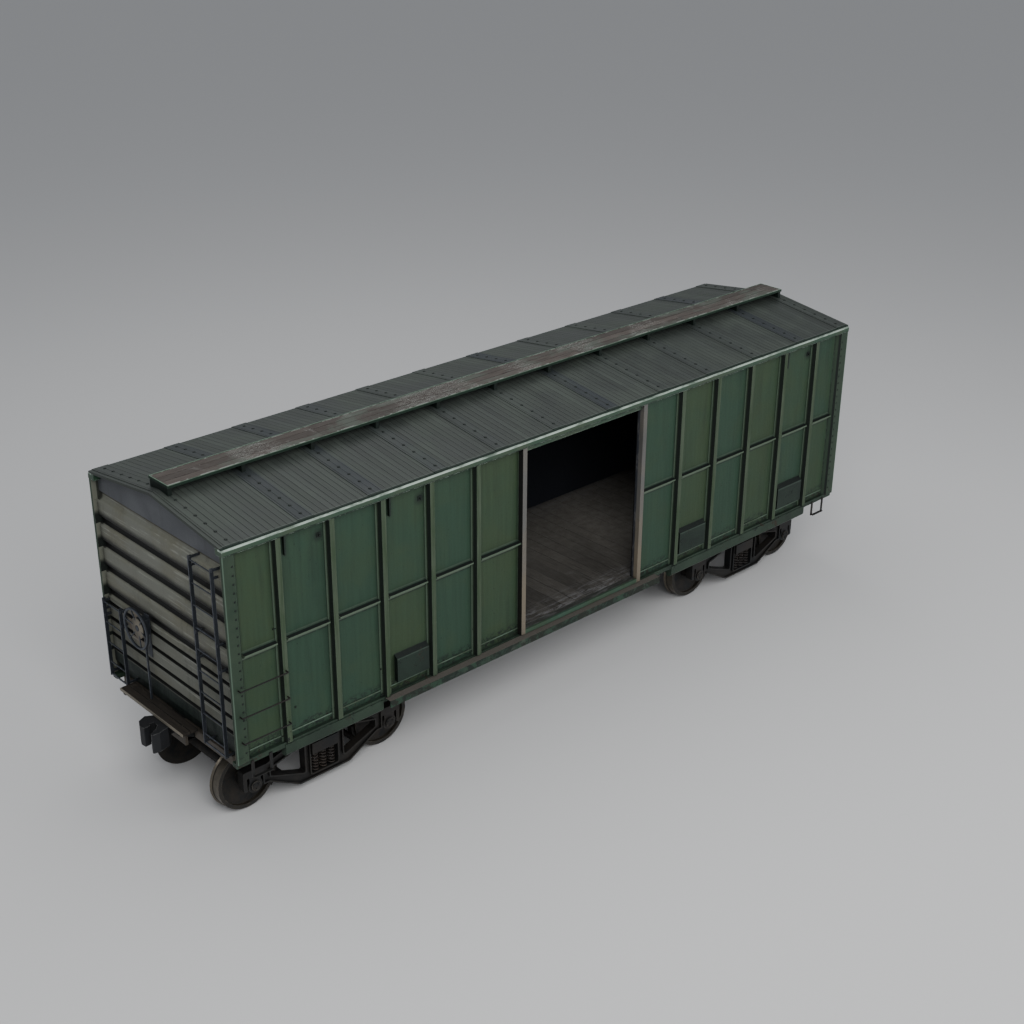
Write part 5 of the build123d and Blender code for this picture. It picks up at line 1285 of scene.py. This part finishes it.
class BOXCAR_OT_studio(bpy.types.Operator):
    """Set up the pale floor, soft lights and camera"""
    bl_idname = "boxcar.studio"
    bl_label = "Studio"

    def execute(self, context):
        studio = context.scene.boxcar_studio
        floor_mesh = bpy.data.meshes.new("studio_floor")
        reach = FLOOR_REACH
        floor_mesh.from_pydata([(-reach, -reach, 0), (reach, -reach, 0), (reach, reach, 0), (-reach, reach, 0)], [],
                               [(0, 1, 2, 3)])
        floor = bpy.data.objects.new("studio_floor", floor_mesh)
        context.scene.collection.objects.link(floor)
        material, _, shader = new_finish("studio floor")
        shader.inputs["Base Color"].default_value = (0.60, 0.60, 0.60, 1)
        shader.inputs["Roughness"].default_value = 0.9
        floor_mesh.materials.append(material)
        for name, power in (("key", studio.key), ("fill", studio.fill), ("top", studio.top)):
            size, spot = LAMPS[name]
            lamp = bpy.data.lights.new(name, "AREA")
            lamp.energy, lamp.size = power, size
            light = bpy.data.objects.new(name, lamp)
            light.location = spot
            light.rotation_euler = (Vector((0, 0, LAMP_AIM)) - Vector(spot)).to_track_quat("-Z", "Y").to_euler()
            context.scene.collection.objects.link(light)
        world = bpy.data.worlds.new("even light")
        world.use_nodes = True
        world.node_tree.nodes["Background"].inputs["Color"].default_value = (0.92, 0.95, 1.0, 1)
        world.node_tree.nodes["Background"].inputs["Strength"].default_value = studio.sky
        context.scene.world = world
        self.add_camera(context)
        return {"FINISHED"}

    def add_camera(self, context):
        azimuth, elevation, roll = (math.radians(angle) for angle in CAMERA_ANGLES)
        back = Vector((math.sin(azimuth) * math.cos(elevation), -math.cos(azimuth) * math.cos(elevation),
                       math.sin(elevation)))
        level = Vector((0, 0, 1)).cross(back).normalized()
        above = back.cross(level)
        right = math.cos(roll) * level + math.sin(roll) * above
        up = math.cos(roll) * above - math.sin(roll) * level
        lens = bpy.data.cameras.new("view")
        lens.sensor_width, lens.lens, lens.clip_end = 36.0, CAMERA_LENS, 1000.0
        camera = bpy.data.objects.new("view", lens)
        turned = Matrix((right, up, back)).transposed().to_4x4()
        spot = back * CAMERA_AWAY + up * CAMERA_UP - right * CAMERA_LEFT + Vector((0, 0, SIDE_FOOT))
        camera.matrix_world = Matrix.Translation(spot) @ turned
        context.scene.collection.objects.link(camera)
        context.scene.camera = camera


class BOXCAR_PT_panel(bpy.types.Panel):
    """Lists the steps that dress the car"""
    bl_idname = "BOXCAR_PT_panel"
    bl_label = "Boxcar"
    bl_space_type = "VIEW_3D"
    bl_region_type = "UI"
    bl_category = "Boxcar"

    def draw(self, context):
        for step in STEPS:
            self.layout.operator(step.bl_idname)


STEPS = (BOXCAR_OT_finish_nodes, BOXCAR_OT_rivets, BOXCAR_OT_running_board, BOXCAR_OT_platforms, BOXCAR_OT_springs,
         BOXCAR_OT_brake_wheel, BOXCAR_OT_ladder_brackets, BOXCAR_OT_panel_trim, BOXCAR_OT_studio)
SETTINGS = {"boxcar_paint": BoxcarPaint, "boxcar_rivets": BoxcarRivets, "boxcar_boards": BoxcarBoards,
            "boxcar_springs": BoxcarSprings, "boxcar_studio": BoxcarStudio}


def register():
    for name, group in SETTINGS.items():
        bpy.utils.register_class(group)
        setattr(bpy.types.Scene, name, bpy.props.PointerProperty(type=group))
    for step in STEPS + (BOXCAR_PT_panel,):
        bpy.utils.register_class(step)


def unregister():
    for step in reversed(STEPS + (BOXCAR_PT_panel,)):
        bpy.utils.unregister_class(step)
    for name, group in SETTINGS.items():
        delattr(bpy.types.Scene, name)
        bpy.utils.unregister_class(group)


def main():
    register()
    for step in STEPS:
        prefix, name = step.bl_idname.split(".")
        getattr(getattr(bpy.ops, prefix), name)()


if __name__ == "__main__":
    main()
